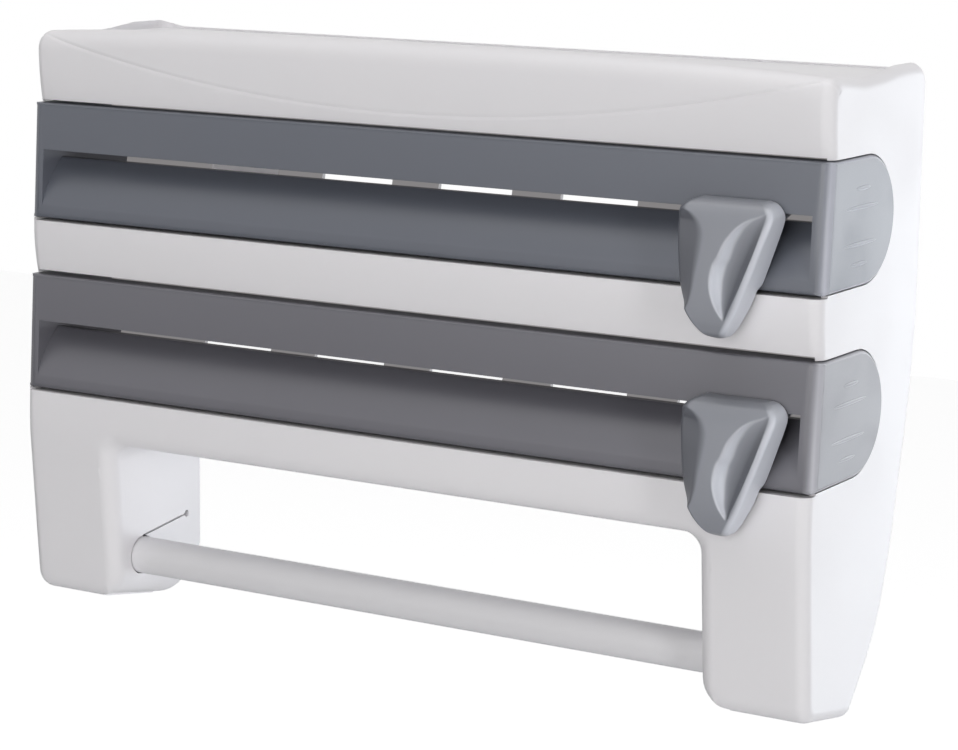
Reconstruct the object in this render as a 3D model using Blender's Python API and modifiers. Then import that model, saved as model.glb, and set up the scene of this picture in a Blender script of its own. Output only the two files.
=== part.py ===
"""Wall dispenser for cling film, foil and paper towel: a white moulded housing with two pull-out roll
drawers, each with a sliding cutter, and a towel bar between two legs.

Metres, +Z up, +X to the right, front facing -Y. The origin is on the wall plane, midway between the two
keyholes. The drawers pull out along -Y, the cutters slide along X on their drawers, the bar turns about X.
"""

import math

import bmesh
import bpy
from mathutils import Matrix, Vector

# Heights and depths of the whole
HOUSING_WIDTH = 0.388
HOUSING_DEPTH = 0.094  # wall to the upper drawer's top front edge
KEYHOLE_DROP = 0.0175  # shelf edge down to the keyholes' line
TOP_BAND = 0.0315
MID_BAND = 0.0257
LOWER_BAND = 0.0225
LEG_DROP = 0.0788
FACE_LEAN = math.radians(3.4)  # the drawers' faces lean forward going down

# Drawers
DRAWER_PROUD = 0.0010  # how far a drawer's ends stand out of the housing's sides
DRAWER_HEIGHT = 0.051
DRAWER_STRAIGHT = 0.036  # face to the centre of the round end
DRAWER_EDGE = 0.0054  # rounding between the face and the cheeks
CHEEK_EDGE_SHARE = 0.30  # rounding of a cheek's other edges, of the rounding before
FACE_EDGE_SHARE = 0.22  # rounding of the face's top and bottom edges, likewise
DRAWER_GAP = 0.0004
TRAY_WALL = 0.0022
CHEEK_WALL = 0.0030
LIP_HEIGHT = 0.0205
LIP_WALL = 0.0024
RECESS_END = 0.0070  # outer face of a cheek to the end of the recess
RAMP_DEPTH = 0.0132  # face to the ramp's top edge
RAMP_DROP = 0.0046  # lip's edge down to the ramp's top edge
RAMP_WALL = 0.0022
RAMP_FOOT = 0.0050  # height of the flush stretch under the ramp
RAMP_BEND_SHARE = 0.125  # depth of the ramp's bend, of the ramp's depth
MOUTH_START = 0.0100  # face to the front of the roll mouth
MOUTH_END = 0.0480  # face to the rear of the roll mouth
WINDOW_LENGTH = 0.037
WINDOW_HEIGHT = 0.012
WINDOW_DROP = 0.026  # drawer's top down to the middle of the rear windows
WINDOW_PITCH = 0.0610
WINDOW_COUNT = 5

# Grip ribs on the cheeks: drop from the drawer's top and half length, as shares of the drawer's height
RIB_SHARES = ((0.24, 0.13), (0.385, 0.30), (0.665, 0.30), (0.82, 0.15))
RIB_CENTRE = 0.0305  # face to the middle of the ribs
RIB_WIDTH = 0.0012
RIB_PROUD = 0.0004

# Housing
WALL = 0.0028
DECK = 0.0025
EDGE = 0.0054  # rounding of the housing's outer side edges
TOP_EDGE = 0.0065  # rounding of the top front edge
REAR_EDGE = 0.0015  # rounding of the top rear edge
CROWN = 0.0041  # rise of the top front edge at mid width
BAND_PROUD = 0.0014  # a band's upper edge, before the drawers' face line
BAND_BACK = 0.0026  # a band's lower edge, behind the drawers' face line
CREASE_STEP = 0.0008
CREASE_DROP = 0.0249  # shelf edge down to the crease at mid width
CREASE_END = 0.0010  # housing's side to where the crease would meet the shelf edge
LIP_BACK = 0.0120  # face to the rear of the shelf's front lip
LIP_SLOPE = 0.0020
RIM = 0.0045
RIM_DIP = 0.0017
TRAY_DEPTH = 0.0025  # shelf edge down to the shelf
TRAY_CORNER = 0.0060
WING_RISE = 0.0030
WING_EDGE = 0.0095  # rounding of the raised rear corners
WING_FOOT = 0.062  # wall to the lowest point of the side's upper edge
WING_TOP = 0.027  # wall to where the raised corner is full
WING_FADE = 0.0100  # width over which the raised corner ends inwards
REAR_FLAT = 0.1035  # height of the flat back, from the shelf edge down

# Legs and the gap between them
LEG_WIDTH = 0.0480
LEG_SWEEP = 0.0080  # how far the legs' fronts draw back
REAR_SWEEP = 0.0550  # how far the legs' heels stand off the wall
FOOT_RISE = 0.0075  # heel up to the toe
TOE_EDGE = 0.0100
HEEL_EDGE = 0.0060
GAP_CORNER = 0.0080
GAP_FLARE = 0.0042  # rounding of the gap's front edge
FOOT_CORNER = 0.0120  # rounding of the legs' inner lower corners
INNER_DEPTH = 0.067  # front of the leg to the rear edge of its inner wall
LEG_STEP = 0.0003  # how much a leg's hollow ends short of the chamber above it

# Towel bar and its seats
BAR_RADIUS = 0.0083
BAR_WALL = 0.0014
BAR_RISE = 0.0250  # heel up to the bar's middle
BAR_BACK = 0.0145  # upper drawer's top front edge back to the bar's middle
BAR_GAP = 0.0005
SEAT_DEPTH = 0.0105
SEAT_WALL = 0.0024
SLIT_WIDTH = 0.0010
SLIT_LENGTH = 0.0330
SLIT_RISE = 0.0040
SLIT_HOLE = 0.0016
PLUG_DEPTH = 0.0120
PLUG_FACE = 0.0020
PLUG_CHAMFER = 0.0008

# Back frame and its screws
FRAME_THICK = 0.0040
FRAME_GAP = 0.0003
FRAME_STILE = 0.0869  # width of the frame beside its window
FRAME_RAIL = 0.0215
FRAME_CORNER = 0.0060
KEYHOLE_INSET = 0.0460  # housing's side to a keyhole
KEYHOLE_HEAD = 0.0042
KEYHOLE_SHANK = 0.0024
KEYHOLE_TRAVEL = 0.0066
BOSS_RADIUS = 0.0042
BOSS_LENGTH = 0.0150
BOSS_SEAT = 0.0010  # how far a boss sinks into the wall that carries it
SCREW_HEAD = 0.0030
SCREW_HEAD_HEIGHT = 0.0016
SCREW_SHANK = 0.0013
SCREW_LENGTH = 0.0110
SCREW_GAP = 0.0003
INNER_SCREW_INSET = 0.1340  # housing's side to the screws at the frame's foot

# Cutter rail behind the lip
RAIL_WEB = 0.0020
RAIL_HEIGHT = 0.0100
RAIL_DEPTH = 0.0050
RAIL_FOOT = 0.0020
RAIL_BELOW_LIP = 0.0005
RAIL_GAP = 0.0003

# Cutter: knob, shoe, blade and screw
KNOB_WIDTH = 0.0422
KNOB_HEIGHT = 0.0541
KNOB_DEPTH = 0.0160
KNOB_EDGE = 0.0016  # rounding of the knob's front edge
KNOB_DROP = 0.0155  # drawer's top to the knob's top
KNOB_GAP = 0.0006
TAIL_GAP = 0.0030  # more room behind the knob's tail, where it passes over the white band
SCOOP_DEPTH = 0.0058
FLANK_FALL_SHARE = 0.40  # depth lost from the ridge to the knob's left edge
RIDGE_BLUNT_SHARE = 0.15  # rounding of the ridge, of the flank's width
FLANK_TOP_SHARE = 0.02  # where the flank starts and ends, going down
FLANK_END_SHARE = 0.88
FLANK_RUN_SHARE = 0.15  # height over which it reaches its full fall
NECK_WIDTH = 0.030
NECK_THICK = 0.0022
NECK_SINK = 0.0053  # how far the neck reaches into the knob
UPPER_CUTTER_INSET = 0.0391  # right end of the drawer to the middle of its cutter at rest
LOWER_CUTTER_INSET = 0.0331
SHOE_LENGTH = 0.030
SHOE_LIP = 0.0014
SHOE_GAP = 0.00035
SHOE_BACK = 0.0026
SHOE_RISE = 0.0060
BLADE_THICK = 0.0004
BLADE_WIDTH = 0.0360
BLADE_HEIGHT = 0.0062
BLADE_POINT = 0.0030
CUTTER_HEAD = 0.0018
CUTTER_HEAD_HEIGHT = 0.0008
CUTTER_SHANK = 0.0009
CUTTER_SCREW_LENGTH = 0.0048

# Working values
OVERRUN = 0.0200
MERGE = 0.00001
ARC_STEPS = 5
ROUND_STEPS = 16
BAND_STEPS = 3
LEG_STEPS = 8
STATIONS = 32
TURN_STEPS = 28
SMALL_STEPS = 12
KNOB_ROWS = 24
KNOB_COLUMNS = 18

# Levels and half widths worked out from the sizes
SHELF_Z = KEYHOLE_DROP
DECK_FOOT = SHELF_Z - TRAY_DEPTH - DECK
UPPER_TOP = SHELF_Z - TOP_BAND
UPPER_FOOT = UPPER_TOP - DRAWER_HEIGHT
LOWER_TOP = UPPER_FOOT - MID_BAND
LOWER_FOOT = LOWER_TOP - DRAWER_HEIGHT
GAP_TOP = LOWER_FOOT - LOWER_BAND
LEG_FOOT = GAP_TOP - LEG_DROP
TOE_Z = LEG_FOOT + FOOT_RISE
HALF = HOUSING_WIDTH / 2
INNER_HALF = HALF - WALL
GAP_HALF = HALF - LEG_WIDTH
DRAWER_HALF = HALF + DRAWER_PROUD
CREASE_SPAN = HALF - CREASE_END
ROUND = DRAWER_HEIGHT / 2
FLOOR = DRAWER_GAP + DECK
BAR_Z = LEG_FOOT + BAR_RISE
BAR_Y = BAR_BACK - HOUSING_DEPTH
KEYHOLE_X = HALF - KEYHOLE_INSET
INNER_SCREW_X = HALF - INNER_SCREW_INSET
UPPER_CUTTER_X = DRAWER_HALF - UPPER_CUTTER_INSET
LOWER_CUTTER_X = DRAWER_HALF - LOWER_CUTTER_INSET

# Front of the legs below the lower drawer: shares of the height down, and of the sweep back
LEG_FRONT_SHARES = ((0.0, 0.0), (0.17, -0.05), (0.36, 0.12), (0.635, 0.40), (0.80, 0.58), (1.0, 0.80))
# Rear edge below the flat back: shares of the height down, and of the sweep off the wall
REAR_EDGE_SHARES = ((0.0, 0.0), (0.20, 0.07), (0.41, 0.20), (0.605, 0.33), (0.815, 0.565), (1.0, 1.0))
# Knob from the front: shares of its height down, and of its width across
KNOB_LEFT_SHARES = ((0.0, 0.175), (0.028, 0.10), (0.078, 0.031), (0.139, 0.002), (0.227, 0.0), (0.287, 0.007),
                    (0.447, 0.024), (0.63, 0.043), (0.754, 0.078), (0.871, 0.118), (0.945, 0.213), (0.983, 0.299),
                    (1.0, 0.372))
KNOB_RIGHT_SHARES = ((0.0, 0.846), (0.013, 0.905), (0.046, 0.96), (0.092, 0.995), (0.129, 1.0), (0.196, 0.981),
                     (0.36, 0.91), (0.505, 0.848), (0.678, 0.763), (0.771, 0.706), (0.843, 0.647), (0.93, 0.578),
                     (0.987, 0.507), (1.0, 0.47))
RIDGE_SHARES = ((0.0, 0.18), (0.074, 0.114), (0.104, 0.187), (0.157, 0.263), (0.235, 0.308), (0.307, 0.31),
                (0.418, 0.294), (0.529, 0.273), (0.641, 0.256), (0.732, 0.223), (0.795, 0.19), (1.0, 0.40))
# Knob from the side: shares of its height down, and of its depth
KNOB_DEPTH_SHARES = ((0.0, 0.50), (0.04, 0.66), (0.10, 0.78), (0.20, 0.88), (0.35, 0.95), (0.60, 1.0), (0.85, 0.98),
                     (0.94, 0.88), (1.0, 0.62))
# Thumb scoop: its left and right edges, its depth going down, and its depth going across
SCOOP_LEFT_SHARES = ((0.067, 0.94), (0.094, 0.867), (0.124, 0.768), (0.172, 0.678), (0.227, 0.618), (0.296, 0.559),
                     (0.401, 0.502), (0.464, 0.453), (0.597, 0.427), (0.732, 0.474), (0.84, 0.56))
SCOOP_RIGHT_SHARES = ((0.067, 0.95), (0.194, 0.931), (0.333, 0.892), (0.497, 0.815), (0.636, 0.727), (0.775, 0.635),
                      (0.84, 0.59))
SCOOP_DOWN_SHARES = ((0.067, 0.0), (0.12, 0.12), (0.20, 0.36), (0.30, 0.62), (0.45, 0.92), (0.60, 1.0), (0.70, 0.86),
                     (0.78, 0.46), (0.84, 0.0))
SCOOP_ACROSS_SHARES = ((0.0, 0.0), (0.06, 0.06), (0.18, 0.52), (0.32, 0.95), (0.42, 1.0), (0.60, 0.86), (0.80, 0.50),
                       (0.93, 0.14), (1.0, 0.0))


def clear_scene():
    for obj in list(bpy.data.objects):
        bpy.data.objects.remove(obj, do_unlink=True)


def make_collection(name):
    collection = bpy.data.collections.new(name)
    bpy.context.scene.collection.children.link(collection)
    return collection


def make_material(name, colour, roughness, metallic=0.0):
    material = bpy.data.materials.new(name)
    material.use_nodes = True
    shader = material.node_tree.nodes["Principled BSDF"]
    shader.inputs["Base Color"].default_value = (*colour, 1.0)
    shader.inputs["Roughness"].default_value = roughness
    shader.inputs["Metallic"].default_value = metallic
    material.diffuse_color = (*colour, 1.0)
    return material


def ease(value):
    """Smooth step from 0 to 1."""
    value = min(1.0, max(0.0, value))
    return value * value * (3 - 2 * value)


def along(table, share):
    """Value at a share of a table of (share, value) pairs, on a smooth curve through the pairs."""
    last = len(table) - 1
    share = min(table[last][0], max(table[0][0], share))
    k = next((i for i in range(last) if share <= table[i + 1][0]), last - 1)
    start, end = table[k], table[k + 1]
    before = table[max(0, k - 1)]
    after = table[min(last, k + 2)]
    span = end[0] - start[0]
    t = (share - start[0]) / span
    slope_in = (end[1] - before[1]) / (end[0] - before[0]) * span
    slope_out = (after[1] - start[1]) / (after[0] - start[0]) * span
    ends = (1 - ease(t)) * start[1] + ease(t) * end[1]
    return ends + t * (1 - t) ** 2 * slope_in - t * t * (1 - t) * slope_out


def rounded(corners, steps=ARC_STEPS):
    """Outline points from corners ((a, b), radius), with an arc where the radius isn't zero."""
    points = []
    for k, (place, radius) in enumerate(corners):
        here = Vector(place)
        if not radius:
            points.append(here)
            continue
        to_last = (Vector(corners[k - 1][0]) - here).normalized()
        to_next = (Vector(corners[(k + 1) % len(corners)][0]) - here).normalized()
        half = to_last.angle(to_next) / 2
        centre = here + (to_last + to_next).normalized() * (radius / math.sin(half))
        start = here + to_last * (radius / math.tan(half)) - centre
        end = here + to_next * (radius / math.tan(half)) - centre
        turn = start.angle_signed(end)
        points += [centre + Matrix.Rotation(-turn * i / steps, 2) @ start for i in range(steps + 1)]
    return points


def moved(points, distance, closed=True):
    """Outline or line moved to its left by a small distance."""
    result = []
    last = len(points) - 1
    for k, here in enumerate(points):
        steps = []
        if closed or k > 0:
            steps.append((here - points[k - 1]).normalized())
        if closed or k < last:
            steps.append((points[(k + 1) % len(points)] - here).normalized())
        sides = [Vector((-step.y, step.x)) for step in steps]
        side = (sides[0] + sides[-1]).normalized()
        result.append(here + side * (distance / max(0.5, side.dot(sides[0]))))
    return result


def finish_mesh(bm, name, collection, material=None):
    bmesh.ops.remove_doubles(bm, verts=bm.verts, dist=MERGE)
    bmesh.ops.recalc_face_normals(bm, faces=bm.faces)
    mesh = bpy.data.meshes.new(name)
    bm.to_mesh(mesh)
    bm.free()
    obj = bpy.data.objects.new(name, mesh)
    collection.objects.link(obj)
    if material:
        mesh.materials.append(material)
    return obj


def loft(name, rings, collection, material=None):
    """Closed body through rings of points, each with as many points, capped at both ends."""
    bm = bmesh.new()
    loops = [[bm.verts.new(point) for point in ring] for ring in rings]
    for first, second in zip(loops, loops[1:]):
        for k in range(len(first)):
            after = (k + 1) % len(first)
            bm.faces.new((first[k], first[after], second[after], second[k]))
    bm.faces.new(loops[0])
    bm.faces.new(loops[-1])
    return finish_mesh(bm, name, collection, material)


# Turns a flat outline's own axes to lie across X, Y or Z
TURNS = {
    "x": Matrix(((0, 0, 1), (1, 0, 0), (0, 1, 0))),
    "y": Matrix(((1, 0, 0), (0, 0, -1), (0, 1, 0))),
    "z": Matrix.Identity(3),
}


def plate(name, outline, axis, low, high, collection, material=None):
    """Body of a flat outline between two places on an axis: a filled 2-D curve, extruded, made a mesh."""
    curve = bpy.data.curves.new(name, "CURVE")
    curve.dimensions = "2D"
    curve.fill_mode = "BOTH"
    curve.extrude = (high - low) / 2
    spline = curve.splines.new("POLY")
    spline.points.add(len(outline) - 1)
    for point, (a, b) in zip(spline.points, outline):
        point.co = (a, b, 0, 1)
    spline.use_cyclic_u = True
    source = bpy.data.objects.new(name + "_outline", curve)
    collection.objects.link(source)
    middle = [(low + high) / 2 if letter == axis else 0 for letter in "xyz"]
    place = Matrix.Translation(middle) @ TURNS[axis].to_4x4()
    mesh = bpy.data.meshes.new_from_object(source.evaluated_get(bpy.context.evaluated_depsgraph_get()))
    bpy.data.objects.remove(source, do_unlink=True)
    bpy.data.curves.remove(curve)
    bm = bmesh.new()
    bm.from_mesh(mesh)
    bpy.data.meshes.remove(mesh)
    bmesh.ops.transform(bm, matrix=place, verts=bm.verts)
    bmesh.ops.remove_doubles(bm, verts=bm.verts, dist=MERGE)
    bmesh.ops.dissolve_limit(bm, angle_limit=math.radians(0.1), verts=bm.verts, edges=bm.edges)
    return finish_mesh(bm, name, collection, material)


def box(name, low, high, collection):
    bm = bmesh.new()
    bmesh.ops.create_cube(bm, size=1.0)
    bmesh.ops.scale(bm, vec=[b - a for a, b in zip(low, high)], verts=bm.verts)
    bmesh.ops.translate(bm, vec=[(a + b) / 2 for a, b in zip(low, high)], verts=bm.verts)
    return finish_mesh(bm, name, collection)


def rod(name, radius, start, end, collection, steps=TURN_STEPS):
    """Plain cylinder between two points."""
    axis = Vector(end) - Vector(start)
    turn = axis.to_track_quat("Z", "Y").to_matrix().to_4x4()
    place = Matrix.Translation((Vector(start) + Vector(end)) / 2) @ turn
    bm = bmesh.new()
    bmesh.ops.create_cone(bm, cap_ends=True, segments=steps, radius1=radius, radius2=radius,
                          depth=axis.length, matrix=place)
    return finish_mesh(bm, name, collection)


def turned(name, profile, axis, place, collection, material, steps):
    """Body turned by a Screw modifier from a (radius, height) profile, whose heights point along the axis."""
    bm = bmesh.new()
    verts = [bm.verts.new((radius, 0, height)) for radius, height in profile]
    for first, second in zip(verts, verts[1:]):
        bm.edges.new((first, second))
    if profile[0][0] > 0:
        bm.edges.new((verts[-1], verts[0]))
    mesh = bpy.data.meshes.new(name)
    bm.to_mesh(mesh)
    bm.free()
    mesh.materials.append(material)
    obj = bpy.data.objects.new(name, mesh)
    collection.objects.link(obj)
    turn = obj.modifiers.new("turn", "SCREW")
    turn.axis = "Z"
    turn.steps = steps
    turn.render_steps = steps
    turn.use_merge_vertices = True
    turn.merge_threshold = MERGE
    obj.matrix_world = Matrix.Translation(place) @ Vector(axis).to_track_quat("Z", "Y").to_matrix().to_4x4()
    return obj


def round_edges(obj, width, weigh, segments=3):
    """Bevel on the edges that weigh(start, end) gives a weight above zero."""
    mesh = obj.data
    weights = mesh.attributes.new("bevel_weight_edge", "FLOAT", "EDGE")
    for edge in mesh.edges:
        start, end = (mesh.vertices[k].co for k in edge.vertices)
        weights.data[edge.index].value = weigh(start, end)
    bevel = obj.modifiers.new("round_edges", "BEVEL")
    bevel.limit_method = "WEIGHT"
    bevel.width = width
    bevel.segments = segments


def cut(obj, cutter, operation="DIFFERENCE"):
    modifier = obj.modifiers.new(cutter.name, "BOOLEAN")
    modifier.operation = operation
    modifier.solver = "EXACT"
    modifier.object = cutter


def add(obj, piece):
    cut(obj, piece, "UNION")


def make_body(name, place, parent, collection):
    """Empty on a joint's axis, which carries the pieces that move together."""
    body = bpy.data.objects.new(name, None)
    collection.objects.link(body)
    body.empty_display_size = WALL
    body.location = Vector(place) - (parent.location if parent else Vector((0, 0, 0)))
    body.parent = parent
    return body


def carry(body, pieces):
    bpy.context.view_layer.update()
    for piece in pieces:
        kept = piece.matrix_world.copy()
        piece.parent = body
        piece.matrix_parent_inverse = body.matrix_world.inverted()
        piece.matrix_world = kept


def face_y(z):
    """Line of the drawers' faces, which lean forward going down."""
    return -HOUSING_DEPTH + (z - UPPER_TOP) * math.tan(FACE_LEAN)


def band_y(z, top, foot):
    """Front of a white band: proud of the face line at its top, behind it at its foot."""
    share = (top - z) / (top - foot)
    return face_y(z) - BAND_PROUD + (BAND_PROUD + BAND_BACK) * share * share


def top_band_y(z):
    return band_y(z, SHELF_Z, UPPER_TOP)


def mid_band_y(z):
    return band_y(z, UPPER_FOOT, LOWER_TOP)


def leg_y(z):
    share = (LOWER_FOOT - z) / (LOWER_FOOT - LEG_FOOT)
    return face_y(LOWER_FOOT) - BAND_PROUD + LEG_SWEEP * along(LEG_FRONT_SHARES, share)


def rear_y(z):
    flat_end = SHELF_Z - REAR_FLAT
    return -REAR_SWEEP * along(REAR_EDGE_SHARES, (flat_end - z) / (flat_end - LEG_FOOT))


def foot_z(y):
    """Line of the legs' undersides, which rises from the heel to the toe."""
    toe = leg_y(TOE_Z)
    return TOE_Z - FOOT_RISE * (y - toe) / (-REAR_SWEEP - toe)


def housing_outline(x):
    """Side outline (y, z) of the housing at a place across its width."""
    top = SHELF_Z + CROWN * (1 - abs(x / HALF) ** 3)
    fade = ease((abs(x) - HALF + RIM + WING_FADE) / WING_FADE)
    wing = WING_RISE * fade
    rim = SHELF_Z - RIM_DIP
    highest = top - TOP_EDGE - CREASE_STEP * 2
    crease = SHELF_Z - CREASE_DROP * (1 - (x / CREASE_SPAN) ** 2)
    step = CREASE_STEP * ease((highest - crease) / TOP_EDGE * 2)
    crease = min(crease, highest)
    front = top_band_y(SHELF_Z)
    corners = [((front + LIP_BACK, SHELF_Z), 0)]
    corners.append(((front + LIP_BACK - LIP_SLOPE, top), 0))
    corners.append(((front + step, top), TOP_EDGE))
    corners.append(((top_band_y(crease) + step, crease + CREASE_STEP), 0))
    corners.append(((top_band_y(crease), crease), 0))
    corners.append(((top_band_y(UPPER_TOP), UPPER_TOP), 0))
    for k in range(BAND_STEPS + 1):
        z = UPPER_FOOT - MID_BAND * k / BAND_STEPS
        corners.append(((mid_band_y(z), z), 0))
    last = TOE_Z + TOE_EDGE * 2
    for k in range(LEG_STEPS + 1):
        z = LOWER_FOOT - (LOWER_FOOT - last) * k / LEG_STEPS
        corners.append(((leg_y(z), z), 0))
    corners.append(((leg_y(TOE_Z), TOE_Z), TOE_EDGE))
    corners.append(((-REAR_SWEEP, LEG_FOOT), HEEL_EDGE))
    first = LEG_FOOT + HEEL_EDGE * 2
    flat_end = SHELF_Z - REAR_FLAT
    for k in range(LEG_STEPS + 1):
        z = first + (flat_end - first) * k / LEG_STEPS
        corners.append(((rear_y(z), z), 0))
    corners.append(((0, rim + wing), REAR_EDGE + (WING_EDGE - REAR_EDGE) * fade))
    corners.append(((-WING_TOP, rim + wing), 0))
    corners.append(((-(WING_TOP + WING_FOOT) / 2, rim + wing / 3), 0))
    corners.append(((-WING_FOOT, rim), 0))
    return rounded(corners)


def housing_block(collection, material):
    """Outer form of the housing, lofted across its width, with its side edges rounded."""
    flat = HALF - EDGE
    ends = []
    for k in range(ARC_STEPS):
        angle = math.pi / 2 * k / ARC_STEPS
        ends.append((flat + EDGE * math.cos(angle), EDGE * (1 - math.sin(angle))))
    places = ends + [(flat * (1 - 2 * k / STATIONS), 0) for k in range(STATIONS + 1)]
    places += [(-x, inset) for x, inset in reversed(ends)]
    rings = []
    for x, inset in places:
        outline = housing_outline(max(-flat, min(flat, x)))
        rings.append([(x, p.x, p.y) for p in moved(outline, inset)])
    return loft("housing", rings, collection, material)


def drawer_outline(top, grow=0.0, forward=0.0):
    """D-shaped end of a drawer (y, z): a leaning face, flat top and bottom, and a half round rear."""
    foot = top - DRAWER_HEIGHT
    centre = Vector((face_y(top) + DRAWER_STRAIGHT, top - ROUND))
    reach = ROUND + grow
    points = [Vector((face_y(top) - forward, top + grow)), Vector((face_y(foot) - forward, foot - grow))]
    for k in range(ROUND_STEPS + 1):
        angle = -math.pi / 2 + math.pi * k / ROUND_STEPS
        points.append(centre + Vector((math.cos(angle), math.sin(angle))) * reach)
    return points


def cut_bays(housing, cutters):
    for name, top in (("upper", UPPER_TOP), ("lower", LOWER_TOP)):
        notch = drawer_outline(top, DRAWER_GAP, OVERRUN)
        cut(housing, plate(name + "_notch_cutter", notch, "x", -HALF - OVERRUN, HALF + OVERRUN, cutters))
        low = (-INNER_HALF, -HOUSING_DEPTH - OVERRUN, top - DRAWER_HEIGHT - DRAWER_GAP)
        high = (INNER_HALF, OVERRUN, top + DRAWER_GAP)
        cut(housing, box(name + "_bay_cutter", low, high, cutters))


def cut_chambers(housing, cutters):
    """Hollows behind the bands, open to the rear, whose fronts follow the bands."""
    lip_rear = top_band_y(SHELF_Z) + LIP_BACK - WALL
    top = [(top_band_y(z) + CREASE_STEP + WALL, z) for z in (UPPER_TOP + FLOOR, SHELF_Z - WALL)]
    top += [(lip_rear, SHELF_Z - WALL), (lip_rear, DECK_FOOT), (OVERRUN, DECK_FOOT), (OVERRUN, UPPER_TOP + FLOOR)]
    middle = [(mid_band_y(z) + WALL, z) for z in (LOWER_TOP + FLOOR, UPPER_FOOT - FLOOR)]
    middle += [(OVERRUN, UPPER_FOOT - FLOOR), (OVERRUN, LOWER_TOP + FLOOR)]
    low = [(leg_y(z) + WALL, z) for z in (GAP_TOP + WALL, LOWER_FOOT - FLOOR)]
    low += [(OVERRUN, LOWER_FOOT - FLOOR), (OVERRUN, GAP_TOP + WALL)]
    for name, outline in (("top", top), ("middle", middle), ("low", low)):
        cut(housing, plate(name + "_chamber_cutter", outline, "x", -INNER_HALF, INNER_HALF, cutters))
    seat_low = (-INNER_HALF, -FRAME_THICK - FRAME_GAP, LOWER_TOP + FLOOR)
    cut(housing, box("frame_seat_cutter", seat_low, (INNER_HALF, OVERRUN, DECK_FOOT), cutters))


def cut_shelf(housing, cutters):
    front = top_band_y(SHELF_Z) + LIP_BACK
    half = HALF - RIM
    corners = [(half, front), (half, -RIM), (-half, -RIM), (-half, front)]
    outline = rounded([(corner, TRAY_CORNER) for corner in corners])
    cut(housing, plate("shelf_cutter", outline, "z", SHELF_Z - TRAY_DEPTH, SHELF_Z + OVERRUN, cutters))


def gap_outline(grow, y):
    """Space between the legs seen from the front (x, z), with rounded corners at its top and its feet."""
    half = GAP_HALF + grow
    foot = foot_z(y)
    knee = foot + FOOT_CORNER
    shoulder = GAP_TOP + grow - GAP_CORNER
    side = []
    for k in range(ARC_STEPS + 1):
        angle = math.pi / 2 * k / ARC_STEPS
        side.append((half - GAP_CORNER * (1 - math.sin(angle)), shoulder + GAP_CORNER * math.cos(angle)))
    side += [(half, shoulder + (knee - shoulder) * k / LEG_STEPS) for k in range(1, LEG_STEPS)]
    for k in range(ARC_STEPS + 1):
        angle = math.pi / 2 * k / ARC_STEPS
        side.append((half + FOOT_CORNER * (1 - math.cos(angle)), knee - FOOT_CORNER * math.sin(angle)))
    side.append((half + FOOT_CORNER, foot - OVERRUN))
    return side + [(-x, z) for x, z in reversed(side)]


def cut_gap(housing, cutters):
    """Cuts the space between the legs, flared at the front so that its front edge comes out rounded."""
    stages = [(-GAP_FLARE, GAP_FLARE * 3)]
    for k in range(ARC_STEPS + 1):
        angle = math.pi / 2 * k / ARC_STEPS
        stages.append((GAP_FLARE * (1 - math.cos(angle)), GAP_FLARE * (1 - math.sin(angle))))
    rings = []
    for back, grow in stages:
        outline = gap_outline(grow, leg_y(TOE_Z))
        rings.append([(x, leg_y(max(TOE_Z, min(LOWER_FOOT, z))) + back, z) for x, z in outline])
    rings.append([(x, OVERRUN, z) for x, z in gap_outline(0, OVERRUN)])
    cut(housing, loft("towel_gap_cutter", rings, cutters))


def hollow_leg(housing, side, cutters):
    """Hollow of one leg, open to the rear and into the low chamber, and its inner wall's rear edge."""
    name = "left" if side < 0 else "right"
    inner = side * (GAP_HALF + WALL)
    top = GAP_TOP + WALL * 3
    toe_y = leg_y(TOE_Z) + TOE_EDGE
    last = TOE_Z + TOE_EDGE
    outline = []
    for k in range(LEG_STEPS + 1):
        z = top - (top - last) * k / LEG_STEPS
        outline.append((leg_y(z) + WALL, z))
    outline += [(toe_y, foot_z(toe_y) + WALL), (OVERRUN, foot_z(OVERRUN) + WALL), (OVERRUN, top)]
    low, high = sorted((inner, side * (INNER_HALF - LEG_STEP)))
    hollow = plate(name + "_leg_cutter", outline, "x", low, high, cutters)
    floor = foot_z(-HOUSING_DEPTH) + WALL * 2

    def weigh(start, end):
        on_wall = abs(start.x - inner) < MERGE and abs(end.x - inner) < MERGE
        return 1.0 if on_wall and max(start.z, end.z) < floor else 0.0

    round_edges(hollow, FOOT_CORNER - WALL, weigh)
    cut(housing, hollow)
    low, high = sorted((side * (GAP_HALF - OVERRUN), side * (INNER_HALF - WALL)))
    rear = leg_y(GAP_TOP) + INNER_DEPTH
    trim = box(name + "_wall_cutter", (low, rear, LEG_FOOT + WALL * 2), (high, OVERRUN, GAP_TOP - WALL), cutters)
    cut(housing, trim)


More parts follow.
